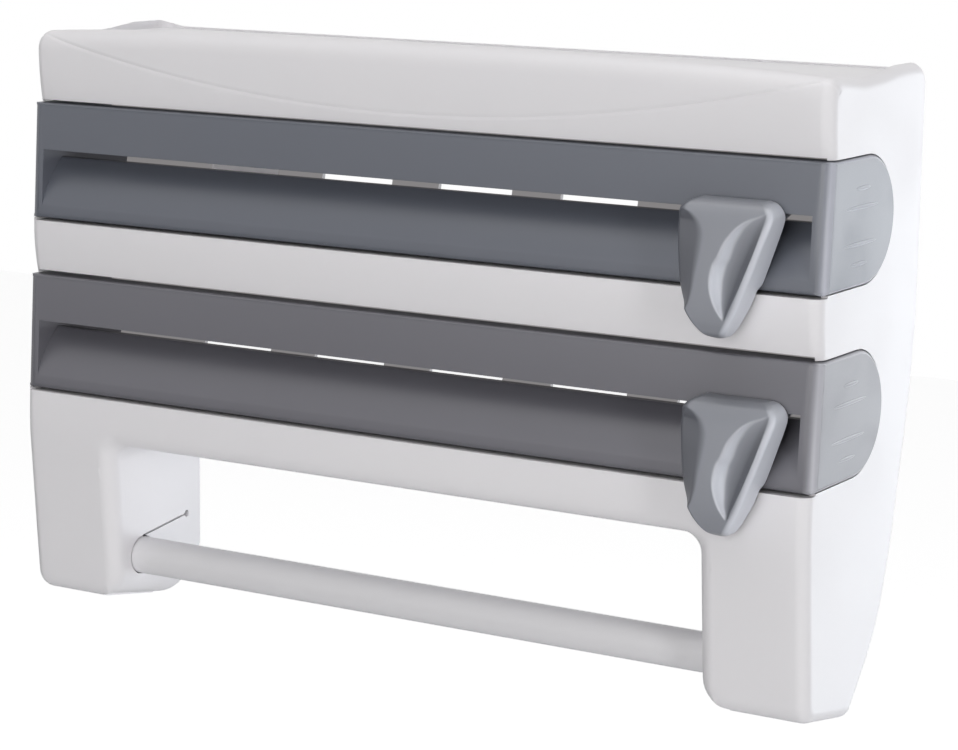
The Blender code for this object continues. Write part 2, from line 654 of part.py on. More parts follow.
def add_seat(housing, side, cutters):
    """Blind socket of the bar in one leg, with the slit that lets the leg's inner wall give."""
    name = "left" if side < 0 else "right"
    wall_middle = side * (GAP_HALF + WALL / 2)
    boss_end = side * (GAP_HALF + SEAT_DEPTH + SEAT_WALL)
    outside = side * (GAP_HALF - OVERRUN)
    bore = BAR_RADIUS + BAR_GAP
    add(housing, rod(name + "_seat_boss", bore + SEAT_WALL, (wall_middle, BAR_Y, BAR_Z),
                     (boss_end, BAR_Y, BAR_Z), cutters))
    cut(housing, rod(name + "_seat_cutter", bore, (outside, BAR_Y, BAR_Z),
                     (side * (GAP_HALF + SEAT_DEPTH), BAR_Y, BAR_Z), cutters))
    low, high = sorted((outside, side * (GAP_HALF + WALL * 2)))
    start = Vector((BAR_Y, BAR_Z + BAR_RADIUS))
    end = start + Vector((SLIT_LENGTH, SLIT_RISE))
    up = Vector((0, SLIT_WIDTH))
    cut(housing, plate(name + "_slit_cutter", [start, end, end + up, start + up], "x", low, high, cutters))
    hole = end + up / 2
    cut(housing, rod(name + "_slit_hole_cutter", SLIT_HOLE, (low, *hole), (high, *hole), cutters, SMALL_STEPS))


def screw_places():
    """Name, x and z of the six screws that hold the back frame, each beside a wall or a deck."""
    side = INNER_HALF - BOSS_RADIUS + BOSS_SEAT
    top = DECK_FOOT - BOSS_RADIUS + BOSS_SEAT
    foot = LOWER_TOP + FLOOR + BOSS_RADIUS - BOSS_SEAT
    places = ((-side, top), (side, top), (-side, foot), (side, foot), (-INNER_SCREW_X, foot),
              (INNER_SCREW_X, foot))
    return [(f"frame_screw_{k + 1}", x, z) for k, (x, z) in enumerate(places)]


def add_bosses(housing, cutters):
    rear = -FRAME_THICK - FRAME_GAP
    for name, x, z in screw_places():
        add(housing, rod(name + "_boss", BOSS_RADIUS, (x, rear, z), (x, rear - BOSS_LENGTH, z), cutters))
        depth = -SCREW_LENGTH - SCREW_HEAD_HEIGHT - SCREW_GAP * 3
        cut(housing, rod(name + "_pilot_cutter", SCREW_SHANK + SCREW_GAP, (x, OVERRUN, z), (x, depth, z), cutters,
                         SMALL_STEPS))


def make_housing(parts, cutters, material):
    housing = housing_block(parts, material)
    cut_bays(housing, cutters)
    cut_chambers(housing, cutters)
    cut_shelf(housing, cutters)
    cut_gap(housing, cutters)
    for side in (-1, 1):
        hollow_leg(housing, side, cutters)
        add_seat(housing, side, cutters)
    add_bosses(housing, cutters)
    return housing


def keyhole_outline(x):
    """Keyhole (x, z): a round mouth below, and a narrow slot up to the keyholes' line."""
    points = []
    lean = math.asin(KEYHOLE_SHANK / KEYHOLE_HEAD)
    for k in range(ROUND_STEPS + 1):
        angle = math.pi / 2 + lean + (2 * math.pi - 2 * lean) * k / ROUND_STEPS
        points.append((x + KEYHOLE_HEAD * math.cos(angle), -KEYHOLE_TRAVEL + KEYHOLE_HEAD * math.sin(angle)))
    for k in range(ARC_STEPS + 1):
        angle = math.pi * k / ARC_STEPS
        points.append((x + KEYHOLE_SHANK * math.cos(angle), KEYHOLE_SHANK * math.sin(angle)))
    return points


def make_frame(parts, cutters, material):
    """Flat moulded frame that closes the back, with two keyholes and a window behind the upper bay."""
    half = INNER_HALF - FRAME_GAP
    top = DECK_FOOT - FRAME_GAP
    foot = LOWER_TOP + FLOOR + FRAME_GAP
    outline = [(-half, foot), (half, foot), (half, top), (-half, top)]
    frame = plate("back_frame", outline, "y", -FRAME_THICK, 0, parts, material)
    side = half - FRAME_STILE
    corners = [(side, foot + FRAME_RAIL), (side, top - FRAME_RAIL), (-side, top - FRAME_RAIL),
               (-side, foot + FRAME_RAIL)]
    window = rounded([(corner, FRAME_CORNER) for corner in corners])
    cut(frame, plate("frame_window_cutter", window, "y", -FRAME_THICK - OVERRUN, OVERRUN, cutters))
    for name, x in (("left", -KEYHOLE_X), ("right", KEYHOLE_X)):
        outline = keyhole_outline(x)
        cut(frame, plate(name + "_keyhole_cutter", outline, "y", -FRAME_THICK - OVERRUN, OVERRUN, cutters))
    for name, x, z in screw_places():
        sink = -SCREW_HEAD_HEIGHT - SCREW_GAP * 2
        cut(frame, rod(name + "_head_cutter", SCREW_HEAD + SCREW_GAP, (x, OVERRUN, z), (x, sink, z), cutters,
                       SMALL_STEPS))
        cut(frame, rod(name + "_hole_cutter", SCREW_SHANK + SCREW_GAP, (x, OVERRUN, z),
                       (x, -FRAME_THICK - OVERRUN, z), cutters, SMALL_STEPS))
    return frame


def screw_profile(head, head_height, shank, length):
    """Low domed head above the origin and pointed shank below it, down along the outside."""
    shoulder = head_height / 2
    return [(0, head_height), (head - shoulder, head_height), (head, shoulder), (head, 0), (shank, 0),
            (shank, -length + shank), (0, -length)]


def make_screws(parts, material):
    profile = screw_profile(SCREW_HEAD, SCREW_HEAD_HEIGHT, SCREW_SHANK, SCREW_LENGTH)
    for name, x, z in screw_places():
        place = (x, -SCREW_HEAD_HEIGHT - SCREW_GAP, z)
        turned(name, profile, (0, 1, 0), place, parts, material, SMALL_STEPS)


def at(top, behind, drop):
    """Point (y, z) of a drawer, so far behind its leaning face and so far below its top."""
    z = top - drop
    return Vector((face_y(z) + behind, z))


def ramp_line(top):
    """Concave ramp under the lip, from its top edge to where it runs out flush with the face."""
    start_drop = LIP_HEIGHT + RAMP_DROP
    end_drop = DRAWER_HEIGHT - RAMP_FOOT
    start = at(top, RAMP_DEPTH, start_drop)
    end = at(top, 0, end_drop)
    bend = at(top, RAMP_DEPTH * RAMP_BEND_SHARE, (start_drop + end_drop) / 2)
    line = []
    for k in range(LEG_STEPS + 1):
        t = k / LEG_STEPS
        line.append(start * (1 - t) ** 2 + bend * 2 * t * (1 - t) + end * t * t)
    return line


def trough_outline(top):
    """Inside of the roll trough (y, z), from its mouth round the rear, with a pocket behind the lip."""
    pocket_y = face_y(top) + RAMP_DEPTH + RAMP_WALL
    start_drop = LIP_HEIGHT + RAMP_DROP
    centre = Vector((face_y(top) + DRAWER_STRAIGHT, top - ROUND))
    reach = ROUND - TRAY_WALL
    points = [at(top, MOUTH_START, -OVERRUN), at(top, MOUTH_START, TRAY_WALL), at(top, LIP_WALL, TRAY_WALL)]
    points += [at(top, LIP_WALL, start_drop), Vector((pocket_y, top - start_drop))]
    points.append(Vector((pocket_y, top - DRAWER_HEIGHT + TRAY_WALL)))
    rear = face_y(top) + MOUTH_END
    last = math.acos(max(-1.0, min(1.0, (rear - centre.x) / reach)))
    for k in range(ROUND_STEPS + 1):
        angle = -math.pi / 2 + (math.pi / 2 + last) * k / ROUND_STEPS
        points.append(centre + Vector((math.cos(angle), math.sin(angle))) * reach)
    points.append(Vector((points[-1].x, top + OVERRUN)))
    return points


def recess_outline(top):
    """Recess under the lip (y, z): in under the lip and down the ramp, run on past it at both ends."""
    line = ramp_line(top)
    entry = line[0] + (line[0] - line[1]) / 2
    leave = line[-1] + (line[-1] - line[-2]) / 2
    inner = RAMP_DEPTH + RAMP_WALL
    return [at(top, -OVERRUN, LIP_HEIGHT), at(top, inner, LIP_HEIGHT), at(top, inner, LIP_HEIGHT + RAMP_DROP / 4),
            entry, *line, leave, at(top, -OVERRUN, DRAWER_HEIGHT)]


def undercut_outline(top):
    """Hollow behind the ramp (y, z), open downwards, which keeps the ramp's wall even."""
    foot = DRAWER_HEIGHT - RAMP_FOOT
    back = face_y(top) + RAMP_DEPTH
    line = moved(ramp_line(top), RAMP_WALL, closed=False)
    line = [p for p in line if p.x < back - RAMP_WALL / 2 and p.y > top - foot]
    front = at(top, RAMP_WALL, foot)
    low = top - DRAWER_HEIGHT - OVERRUN
    return [Vector((back, low)), Vector((back, line[0].y)), *line, front, Vector((front.x, low))]


def make_tray(name, top, parts, cutters, material):
    tray = plate(name, drawer_outline(top), "x", -DRAWER_HALF, DRAWER_HALF, parts, material)
    face_end = face_y(top) + DRAWER_STRAIGHT / 2

    def weigh(start, end):
        on_cheek = start.x * end.x > 0
        if max(start.y, end.y) < face_end:
            return 1.0 if on_cheek else FACE_EDGE_SHARE
        return CHEEK_EDGE_SHARE if on_cheek else 0.0

    round_edges(tray, DRAWER_EDGE, weigh, 4)
    recess_half = DRAWER_HALF - RECESS_END
    cut(tray, plate(name + "_trough_cutter", trough_outline(top), "x", -recess_half, recess_half, cutters))
    cut(tray, plate(name + "_recess_cutter", recess_outline(top), "x", -recess_half, recess_half, cutters))
    reach = DRAWER_HALF - CHEEK_WALL
    cut(tray, plate(name + "_undercut_cutter", undercut_outline(top), "x", -reach, reach, cutters))
    rear = face_y(top) + DRAWER_STRAIGHT
    window_z = top - WINDOW_DROP
    for k in range(WINDOW_COUNT):
        x = (k - (WINDOW_COUNT - 1) / 2) * WINDOW_PITCH
        low = (x - WINDOW_LENGTH / 2, rear, window_z - WINDOW_HEIGHT / 2)
        high = (x + WINDOW_LENGTH / 2, rear + ROUND + OVERRUN, window_z + WINDOW_HEIGHT / 2)
        cut(tray, box(f"{name}_window_{k + 1}_cutter", low, high, cutters))
    for side, end in ((-1, "left"), (1, "right")):
        for k, (drop_share, length_share) in enumerate(RIB_SHARES):
            centre = at(top, RIB_CENTRE, DRAWER_HEIGHT * drop_share)
            length = DRAWER_HEIGHT * length_share
            low, high = sorted((side * (DRAWER_HALF - RIB_WIDTH), side * (DRAWER_HALF + RIB_PROUD)))
            rib = box(f"{name}_rib_{k + 1}_{end}", (low, centre.x - length, centre.y - RIB_WIDTH / 2),
                      (high, centre.x + length, centre.y + RIB_WIDTH / 2), cutters)
            add(tray, rib)
    return tray


def make_rail(name, top, parts, material):
    """Guide rail behind the lip: a web along the lip and a foot that the cutter's shoe grips."""
    foot = LIP_HEIGHT + RAIL_BELOW_LIP
    front = LIP_WALL + RAIL_GAP
    places = ((front, foot), (front + RAIL_DEPTH, foot), (front + RAIL_DEPTH, foot - RAIL_FOOT),
              (front + RAIL_WEB, foot - RAIL_FOOT), (front + RAIL_WEB, foot - RAIL_HEIGHT),
              (front, foot - RAIL_HEIGHT))
    outline = [at(top, behind, drop) for behind, drop in places]
    half = DRAWER_HALF - RECESS_END - RAIL_GAP
    return plate(name, outline, "x", -half, half, parts, material)


def blunt(value, width):
    """Rising value that levels off at 1 with a rounded corner of this half width."""
    if value < 1 - width:
        return value
    if value > 1 + width:
        return 1.0
    return value - (value - 1 + width) ** 2 / (4 * width)


def fillet(distance):
    """Depth lost to the knob's rounded front edge at a distance from it."""
    left = KNOB_EDGE - min(KNOB_EDGE, max(0.0, distance))
    return KNOB_EDGE - math.sqrt(max(0.0, KNOB_EDGE * KNOB_EDGE - left * left))


def scoop_depth(across, down):
    left = along(SCOOP_LEFT_SHARES, down)
    right = along(SCOOP_RIGHT_SHARES, down)
    share = (across - left) / max(MERGE, right - left)
    if not 0 < share < 1:
        return 0.0
    return SCOOP_DEPTH * along(SCOOP_DOWN_SHARES, down) * along(SCOOP_ACROSS_SHARES, share)


def knob_front(across, down):
    """Depth of the knob before the face line at shares across its width and down its height."""
    left = along(KNOB_LEFT_SHARES, down)
    right = along(KNOB_RIGHT_SHARES, down)
    ridge = along(RIDGE_SHARES, down)
    fade = ease((down - FLANK_TOP_SHARE) / FLANK_RUN_SHARE) * ease((FLANK_END_SHARE - down) / FLANK_RUN_SHARE)
    slope = blunt((across - left) / max(MERGE, ridge - left), RIDGE_BLUNT_SHARE)
    depth = KNOB_DEPTH * along(KNOB_DEPTH_SHARES, down) * (1 - fade * FLANK_FALL_SHARE * (1 - slope))
    side = min(across - left, right - across) * KNOB_WIDTH
    ends = min(down, 1 - down) * KNOB_HEIGHT
    return max(KNOB_EDGE, depth - scoop_depth(across, down) - fillet(side) - fillet(ends))


def spaced(count):
    """Shares from 0 to 1 that lie closer together at both ends."""
    return [(1 - math.cos(math.pi * k / count)) / 2 for k in range(count + 1)]


def knob_block(name, middle_x, top, collection, material):
    """Knob lofted down its height, with a ridge, a flank and a thumb scoop in its front."""
    left_x = middle_x - KNOB_WIDTH / 2
    rings = []
    for down in spaced(KNOB_ROWS):
        drop = KNOB_DROP + KNOB_HEIGHT * down
        low = along(KNOB_LEFT_SHARES, down)
        high = along(KNOB_RIGHT_SHARES, down)
        tail = TAIL_GAP * ease((drop - DRAWER_HEIGHT + TAIL_GAP) / TAIL_GAP)
        front_row, back_row = [], []
        for share in spaced(KNOB_COLUMNS):
            across = low + (high - low) * share
            x = left_x + KNOB_WIDTH * across
            front = at(top, -KNOB_GAP - knob_front(across, down), drop)
            back = at(top, -KNOB_GAP - tail, drop)
            front_row.append((x, front.x, front.y))
            back_row.append((x, back.x, back.y))
        rings.append(front_row + back_row[::-1])
    return loft(name, rings, collection, material)


def make_cutter(name, middle_x, top, parts, cutters, materials):
    """Knob before the lip, shoe round the rail's foot behind it, and the blade in the film slot."""
    knob = knob_block(name + "_knob", middle_x, top, parts, materials["grey"])
    front = LIP_WALL + RAIL_GAP
    rear = front + RAIL_DEPTH + SHOE_GAP
    back = rear + SHOE_BACK
    rail_foot = LIP_HEIGHT + RAIL_BELOW_LIP
    shoe_foot = rail_foot + SHOE_GAP + SHOE_LIP
    neck_top = shoe_foot + RAIL_GAP
    neck_low = neck_top + NECK_THICK
    neck_outline = [at(top, -NECK_SINK, neck_top), at(top, back, neck_top), at(top, back, neck_low),
                    at(top, -NECK_SINK, neck_low)]
    half = NECK_WIDTH / 2
    add(knob, plate(name + "_neck", neck_outline, "x", middle_x - half, middle_x + half, cutters))
    over_foot = rail_foot - RAIL_FOOT - SHOE_GAP
    shoe_places = ((front, shoe_foot), (back, shoe_foot), (back, rail_foot - SHOE_RISE),
                   (front + RAIL_WEB + SHOE_GAP, rail_foot - SHOE_RISE), (front + RAIL_WEB + SHOE_GAP, over_foot),
                   (rear, over_foot), (rear, rail_foot + SHOE_GAP), (front, rail_foot + SHOE_GAP))
    shoe_outline = [at(top, behind, drop) for behind, drop in shoe_places]
    half = SHOE_LENGTH / 2
    shoe = plate(name + "_shoe", shoe_outline, "x", middle_x - half, middle_x + half, parts, materials["dark"])
    seat = at(top, rear + SHOE_BACK / 2, neck_low + SCREW_GAP)
    tip = seat.y + CUTTER_SCREW_LENGTH + SCREW_GAP
    drill = rod(name + "_screw_cutter", CUTTER_SHANK + SCREW_GAP, (middle_x, seat.x, seat.y - OVERRUN),
                (middle_x, seat.x, tip), cutters, SMALL_STEPS)
    cut(knob, drill)
    cut(shoe, drill)
    profile = screw_profile(CUTTER_HEAD, CUTTER_HEAD_HEIGHT, CUTTER_SHANK, CUTTER_SCREW_LENGTH)
    screw = turned(name + "_screw", profile, (0, 0, -1), (middle_x, seat.x, seat.y), parts, materials["steel"],
                   SMALL_STEPS)
    half = BLADE_WIDTH / 2
    upper = top - rail_foot + RAIL_FOOT
    lower = upper - BLADE_HEIGHT
    blade_outline = [(middle_x - half, upper), (middle_x + half, upper), (middle_x + half, lower + BLADE_POINT),
                     (middle_x + half - BLADE_POINT, lower), (middle_x - half + BLADE_POINT, lower),
                     (middle_x - half, lower + BLADE_POINT)]
    blade_y = at(top, back, rail_foot - RAIL_FOOT).x + RAIL_GAP
    blade = plate(name + "_blade", blade_outline, "y", blade_y, blade_y + BLADE_THICK, parts, materials["steel"])
    return [knob, shoe, screw, blade]


def make_bar(parts, material):
    """Towel bar: a plain tube whose plugged ends turn in the legs' seats."""
    end = GAP_HALF + SEAT_DEPTH - BAR_GAP * 2 - PLUG_FACE
    bore = BAR_RADIUS - BAR_WALL
    tube = turned("bar_tube", [(BAR_RADIUS, end), (BAR_RADIUS, -end), (bore, -end), (bore, end)], (1, 0, 0),
                  (0, BAR_Y, BAR_Z), parts, material, TURN_STEPS)
    inner = bore - BAR_GAP
    plug = [(0, BAR_GAP + PLUG_FACE), (BAR_RADIUS - PLUG_CHAMFER, BAR_GAP + PLUG_FACE),
            (BAR_RADIUS, BAR_GAP + PLUG_FACE - PLUG_CHAMFER), (BAR_RADIUS, BAR_GAP), (inner, BAR_GAP),
            (inner, PLUG_CHAMFER - PLUG_DEPTH), (inner - PLUG_CHAMFER, -PLUG_DEPTH), (0, -PLUG_DEPTH)]
    left = turned("bar_plug_left", plug, (-1, 0, 0), (-end, BAR_Y, BAR_Z), parts, material, TURN_STEPS)
    right = turned("bar_plug_right", plug, (1, 0, 0), (end, BAR_Y, BAR_Z), parts, material, TURN_STEPS)
    return [tube, left, right]


def finish(parts, cutters):
    for obj in parts.objects:
        if obj.type == "MESH":
            obj.data.shade_smooth()
            obj.data.set_sharp_from_angle(angle=math.radians(30))
    for obj in cutters.objects:
        obj.hide_render = True
        obj.display_type = "WIRE"


def main():
    clear_scene()
    parts = make_collection("cling_film_dispenser")
    cutters = make_collection("cutters")
    materials = {
        "white": make_material("white_plastic", (0.80, 0.79, 0.80), 0.35),
        "grey": make_material("grey_plastic", (0.17, 0.18, 0.20), 0.38),
        "dark": make_material("dark_plastic", (0.08, 0.08, 0.09), 0.45),
        "steel": make_material("steel", (0.62, 0.62, 0.64), 0.30, 1.0),
    }
    make_housing(parts, cutters, materials["white"])
    make_frame(parts, cutters, materials["white"])
    make_screws(parts, materials["steel"])
    for name, top, middle_x in (("upper", UPPER_TOP, UPPER_CUTTER_X), ("lower", LOWER_TOP, LOWER_CUTTER_X)):
        tray = make_tray(name + "_tray", top, parts, cutters, materials["grey"])
        rail = make_rail(name + "_rail", top, parts, materials["grey"])
        pieces = make_cutter(name + "_cutter", middle_x, top, parts, cutters, materials)
        drawer = make_body(name + "_drawer", (0, face_y(top), top - ROUND), None, parts)
        carry(drawer, [tray, rail])
        rail_y, rail_z = at(top, LIP_WALL, LIP_HEIGHT)
        slider = make_body(name + "_cutter", (middle_x, rail_y, rail_z), drawer, parts)
        carry(slider, pieces)
    bar = make_body("towel_bar", (0, BAR_Y, BAR_Z), None, parts)
    carry(bar, make_bar(parts, materials["white"]))
    finish(parts, cutters)


main()
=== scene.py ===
"""Dressed scene of a kitchen film and foil dispenser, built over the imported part.

Metres, +Z up, +X to the right, front facing -Y. The origin is on the wall plane, midway between the keyholes.
"""

from __future__ import annotations

import logging
import math
from collections.abc import Callable
from dataclasses import dataclass
from enum import Enum
from typing import Any

import bmesh
import bpy
from mathutils import Matrix, Vector


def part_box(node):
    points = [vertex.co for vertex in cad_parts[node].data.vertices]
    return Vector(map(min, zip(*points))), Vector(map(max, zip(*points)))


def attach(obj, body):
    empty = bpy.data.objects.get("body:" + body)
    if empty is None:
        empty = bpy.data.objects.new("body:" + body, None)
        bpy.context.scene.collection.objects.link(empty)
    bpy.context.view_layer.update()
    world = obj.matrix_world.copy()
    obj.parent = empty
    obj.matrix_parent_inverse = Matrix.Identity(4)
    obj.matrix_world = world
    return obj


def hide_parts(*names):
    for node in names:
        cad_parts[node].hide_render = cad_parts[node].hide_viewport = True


log = logging.getLogger("dispenser")

Pair = tuple[float, float]
Triple = tuple[float, float, float]
Table = tuple[Pair, ...]

MERGE = 0.00001
NEAR = 0.0001
QUARTER = math.pi / 2
MITRE_LIMIT = 0.5
OVERRUN = 0.0200
SHARP_DEGREES = 40.0
SMOOTH_DEGREES = 32.0
SOFT_STEPS = 3
FLAT_DEGREES = 0.2
LENS_MM = 109.05
SENSOR_MM = 36.0
WHITE = (1.0, 1.0, 1.0)


class Axis(Enum):
    """Axis along which a flat outline is extruded, with the turn that lays the outline across it."""

    X = ((0, 0, 1), (1, 0, 0), (0, 1, 0))
    Z = ((1, 0, 0), (0, 1, 0), (0, 0, 1))


class Side(Enum):
    """Left or right end of the dispenser, seen from the front."""

    LEFT = -1
    RIGHT = 1


class Tier(Enum):
    """Upper or lower drawer: height of its top edge, place of its cutter across, and the dark gap over it."""

    UPPER = (-0.0140, 0.1559, 0.0013)
    LOWER = (-0.0907, 0.1619, 0.0020)

    @property
    def label(self) -> str:
        """Name that the tier's nodes and bodies start with."""
        return self.name.lower()

    @property
    def top(self) -> float:
        """Height of the drawer's top edge."""
        return self.value[0]

    @property
    def cutter_x(self) -> float:
        """Place of the cutter's middle across the drawer at rest."""
        return self.value[1]

    @property
    def slack(self) -> float:
        """Height of the dark gap between the drawer's top and the band over it."""
        return self.value[2]


# Plain shape mathematics


def ease(value: float) -> float:
    """Smooth step from 0 to 1, for a value that is held between 0 and 1."""
    value = min(1.0, max(0.0, value))
    return value * value * (3 - 2 * value)


def along(table: Table, share: float) -> float:
    """Value at a share of a table of pairs, on a smooth curve through the pairs.

    Args:
        table: (share, value) pairs in rising order.
        share: place in the table.
    Returns:
        The value there.
    """
    last = len(table) - 1
    share = min(table[last][0], max(table[0][0], share))
    k = next((i for i in range(last) if share <= table[i + 1][0]), last - 1)
    start, end = table[k], table[k + 1]
    before = table[max(0, k - 1)]
    after = table[min(last, k + 2)]
    span = end[0] - start[0]
    t = (share - start[0]) / span
    slope_in = (end[1] - before[1]) / (end[0] - before[0]) * span
    slope_out = (after[1] - start[1]) / (after[0] - start[0]) * span
    ends = (1 - ease(t)) * start[1] + ease(t) * end[1]
    return ends + t * (1 - t) ** 2 * slope_in - t * t * (1 - t) * slope_out


def spread(start: float, end: float, steps: int) -> list[float]:
    """Values at even steps from a start to an end, with both."""
    return [start + (end - start) * k / steps for k in range(steps + 1)]


def arc(centre: Vector, radius: float, start: float, end: float, steps: int) -> list[Vector]:
    """Points of an arc at even steps.

    Args:
        centre: its centre.
        radius: its radius.
        start: angle of its first point.
        end: angle of its last point.
        steps: pieces in it.
    Returns:
        The points.
    """
    angles = spread(start, end, steps)
    return [centre + Vector((math.cos(angle), math.sin(angle))) * radius for angle in angles]


def turns(end: float, steps: int) -> list[Pair]:
    """Cosine and sine at even steps from an angle of 0 to its end."""
    return [(math.cos(angle), math.sin(angle)) for angle in spread(0.0, end, steps)]


def rounded(corners: list[tuple[Pair, float]], steps: int) -> list[Vector]:
    """Outline with an arc at each corner whose radius isn't zero.

    Args:
        corners: ((a, b), radius) for each corner, in order.
        steps: pieces in each arc.
    Returns:
        The outline's points.
    """
    points: list[Vector] = []
    for k, (place, radius) in enumerate(corners):
        here = Vector(place)
        if not radius:
            points.append(here)
            continue
        to_last = (Vector(corners[k - 1][0]) - here).normalized()
        to_next = (Vector(corners[(k + 1) % len(corners)][0]) - here).normalized()
        half = to_last.angle(to_next) / 2
        centre = here + (to_last + to_next).normalized() * (radius / math.sin(half))
        start = here + to_last * (radius / math.tan(half)) - centre
        turn = start.angle_signed(here + to_next * (radius / math.tan(half)) - centre)
        points += [centre + Matrix.Rotation(-angle, 2) @ start for angle in spread(0.0, turn, steps)]
    return points


def part_way(line: list[Vector], distance: float) -> Vector:
    """Point at a distance along a line of points.

    Args:
        line: the line's points.
        distance: how far along it the point lies.
    Returns:
        The point.
    """
    for first, second in zip(line, line[1:]):
        step = (second - first).length
        if distance <= step:
            return first.lerp(second, max(0.0, distance) / max(step, MERGE))
        distance -= step
    return line[-1].copy()


def moved(points: list[Vector], distance: float, closed: bool = True) -> list[Vector]:
    """Outline or line moved to its left by a small distance.

    Args:
        points: the outline's points.
        distance: how far it moves.
        closed: whether the last point joins the first.
    Returns:
        The moved points.
    """
    result: list[Vector] = []
    last = len(points) - 1
    for k, here in enumerate(points):
        steps = []
        if closed or k > 0:
            steps.append((here - points[k - 1]).normalized())
        if closed or k < last:
            steps.append((points[(k + 1) % len(points)] - here).normalized())
        sides = [Vector((-step.y, step.x)) for step in steps]
        side = (sides[0] + sides[-1]).normalized()
        result.append(here + side * (distance / max(MITRE_LIMIT, side.dot(sides[0]))))
    return result


# Mesh making


def add_object(name: str, mesh: bpy.types.Mesh) -> bpy.types.Object:
    """Object of a mesh, linked to the scene.

    Args:
        name: the object's name.
        mesh: its mesh.
    Returns:
        The new object.
    """
    made = bpy.data.objects.new(name, mesh)
    bpy.context.scene.collection.objects.link(made)
    return made


def add_mesh(bm: bmesh.types.BMesh, name: str) -> bpy.types.Object:
    """Object of a closed bmesh, with its doubles merged and its faces turned outwards.

    Args:
        bm: the bmesh, which is freed.
        name: the object's name.
    Returns:
        The new object.
    """
    bmesh.ops.remove_doubles(bm, verts=bm.verts, dist=MERGE)
    bmesh.ops.recalc_face_normals(bm, faces=bm.faces)
    mesh = bpy.data.meshes.new(name)
    bm.to_mesh(mesh)
    bm.free()
    return add_object(name, mesh)


def loft(rings: list[list[Triple]], name: str = "tool", closed: bool = False) -> bpy.types.Object:
    """Closed body through rings of points.

    Args:
        rings: rings with the same number of points each.
        name: the object's name.
        closed: True to join the last ring to the first, instead of a cap at each end.
    Returns:
        The new object.
    """
    bm = bmesh.new()
    loops = [[bm.verts.new(point) for point in ring] for ring in rings]
    for first, second in zip(loops, loops[1:] + loops[:1] if closed else loops[1:]):
        for k in range(len(first)):
            after = (k + 1) % len(first)
            bm.faces.new((first[k], first[after], second[after], second[k]))
    if not closed:
        bm.faces.new(loops[0])
        bm.faces.new(loops[-1])
    return add_mesh(bm, name)


def prism(outline: list[Vector], axis: Axis, low: float, high: float, name: str = "tool") -> bpy.types.Object:
    """Flat outline extruded between two places on an axis.

    Args:
        outline: points of the outline.
        axis: the axis of the extrusion.
        low: lower end on the axis.
        high: upper end on the axis.
        name: the object's name.
    Returns:
        The new object.
    """
    turn = Matrix(axis.value)
    return loft([[tuple(turn @ Vector((p[0], p[1], end))) for p in outline] for end in (low, high)], name)


def block(low: Triple, high: Triple, name: str = "tool") -> bpy.types.Object:
    """Box between two corners."""
    outline = [Vector(place) for place in (low[:2], (high[0], low[1]), high[:2], (low[0], high[1]))]
    return prism(outline, Axis.Z, low[2], high[2], name)


def rod(radius: float, start: Triple, end: Triple, steps: int = 48) -> bpy.types.Object:
    """Cylinder between two points.

    Args:
        radius: its radius.
        start: middle of one end.
        end: middle of the other end.
        steps: sides round it.
    Returns:
        The new object.
    """
    first, last = Vector(start), Vector(end)
    turn = (last - first).to_track_quat("Z", "Y").to_matrix().to_4x4()
    bm = bmesh.new()
    bmesh.ops.create_cone(bm, cap_ends=True, segments=steps, radius1=radius, radius2=radius,
                          depth=(last - first).length, matrix=Matrix.Translation((first + last) / 2) @ turn)
    return add_mesh(bm, "tool")


def settle(piece: bpy.types.Object) -> None:
    """Turns a piece's modifiers into plain mesh.

    Args:
        piece: the piece.
    """
    bpy.context.view_layer.update()
    graph = bpy.context.evaluated_depsgraph_get()
    old = piece.data
    made = bpy.data.meshes.new_from_object(piece.evaluated_get(graph))
    piece.modifiers.clear()
    piece.data = made
    bpy.data.meshes.remove(old)


def carve(piece: bpy.types.Object, tool: bpy.types.Object, join: bool = False) -> None:
    """Cuts a tool out of a piece, or joins it on, and removes the tool.

    Args:
        piece: the piece that is changed.
        tool: the tool's object.
        join: True to join the tool on.
    """
    modifier = piece.modifiers.new("cut", "BOOLEAN")
    modifier.operation = "UNION" if join else "DIFFERENCE"
    modifier.solver = "EXACT"
    modifier.object = tool
    settle(piece)
    bpy.data.objects.remove(tool, do_unlink=True)


def bevel(piece: bpy.types.Object, width: float, segments: int, clamp: bool = True) -> None:
    """Rounds a piece's edges by their bevel weights.

    Args:
        piece: the piece.
        width: width of the widest rounding.
        segments: pieces across the rounding.
        clamp: whether roundings stop where they meet.
    """
    modifier = piece.modifiers.new("rounding", "BEVEL")
    modifier.limit_method = "WEIGHT"
    modifier.width = width
    modifier.segments = segments
    modifier.use_clamp_overlap = clamp
    settle(piece)


def round_edges(piece: bpy.types.Object, width: float, segments: int,
                share: Callable[[Vector, Vector], float]) -> None:
    """Rounds a piece's edges, each by its share of a width.

    Args:
        piece: the piece.
        width: width of the widest rounding.
        segments: pieces across the rounding.
        share: share of that width for the edge with these ends.
    """
    weights = piece.data.attributes.new("bevel_weight_edge", "FLOAT", "EDGE")
    for line in piece.data.edges:
        weights.data[line.index].value = share(*(piece.data.vertices[k].co for k in line.vertices))
    bevel(piece, width, segments)


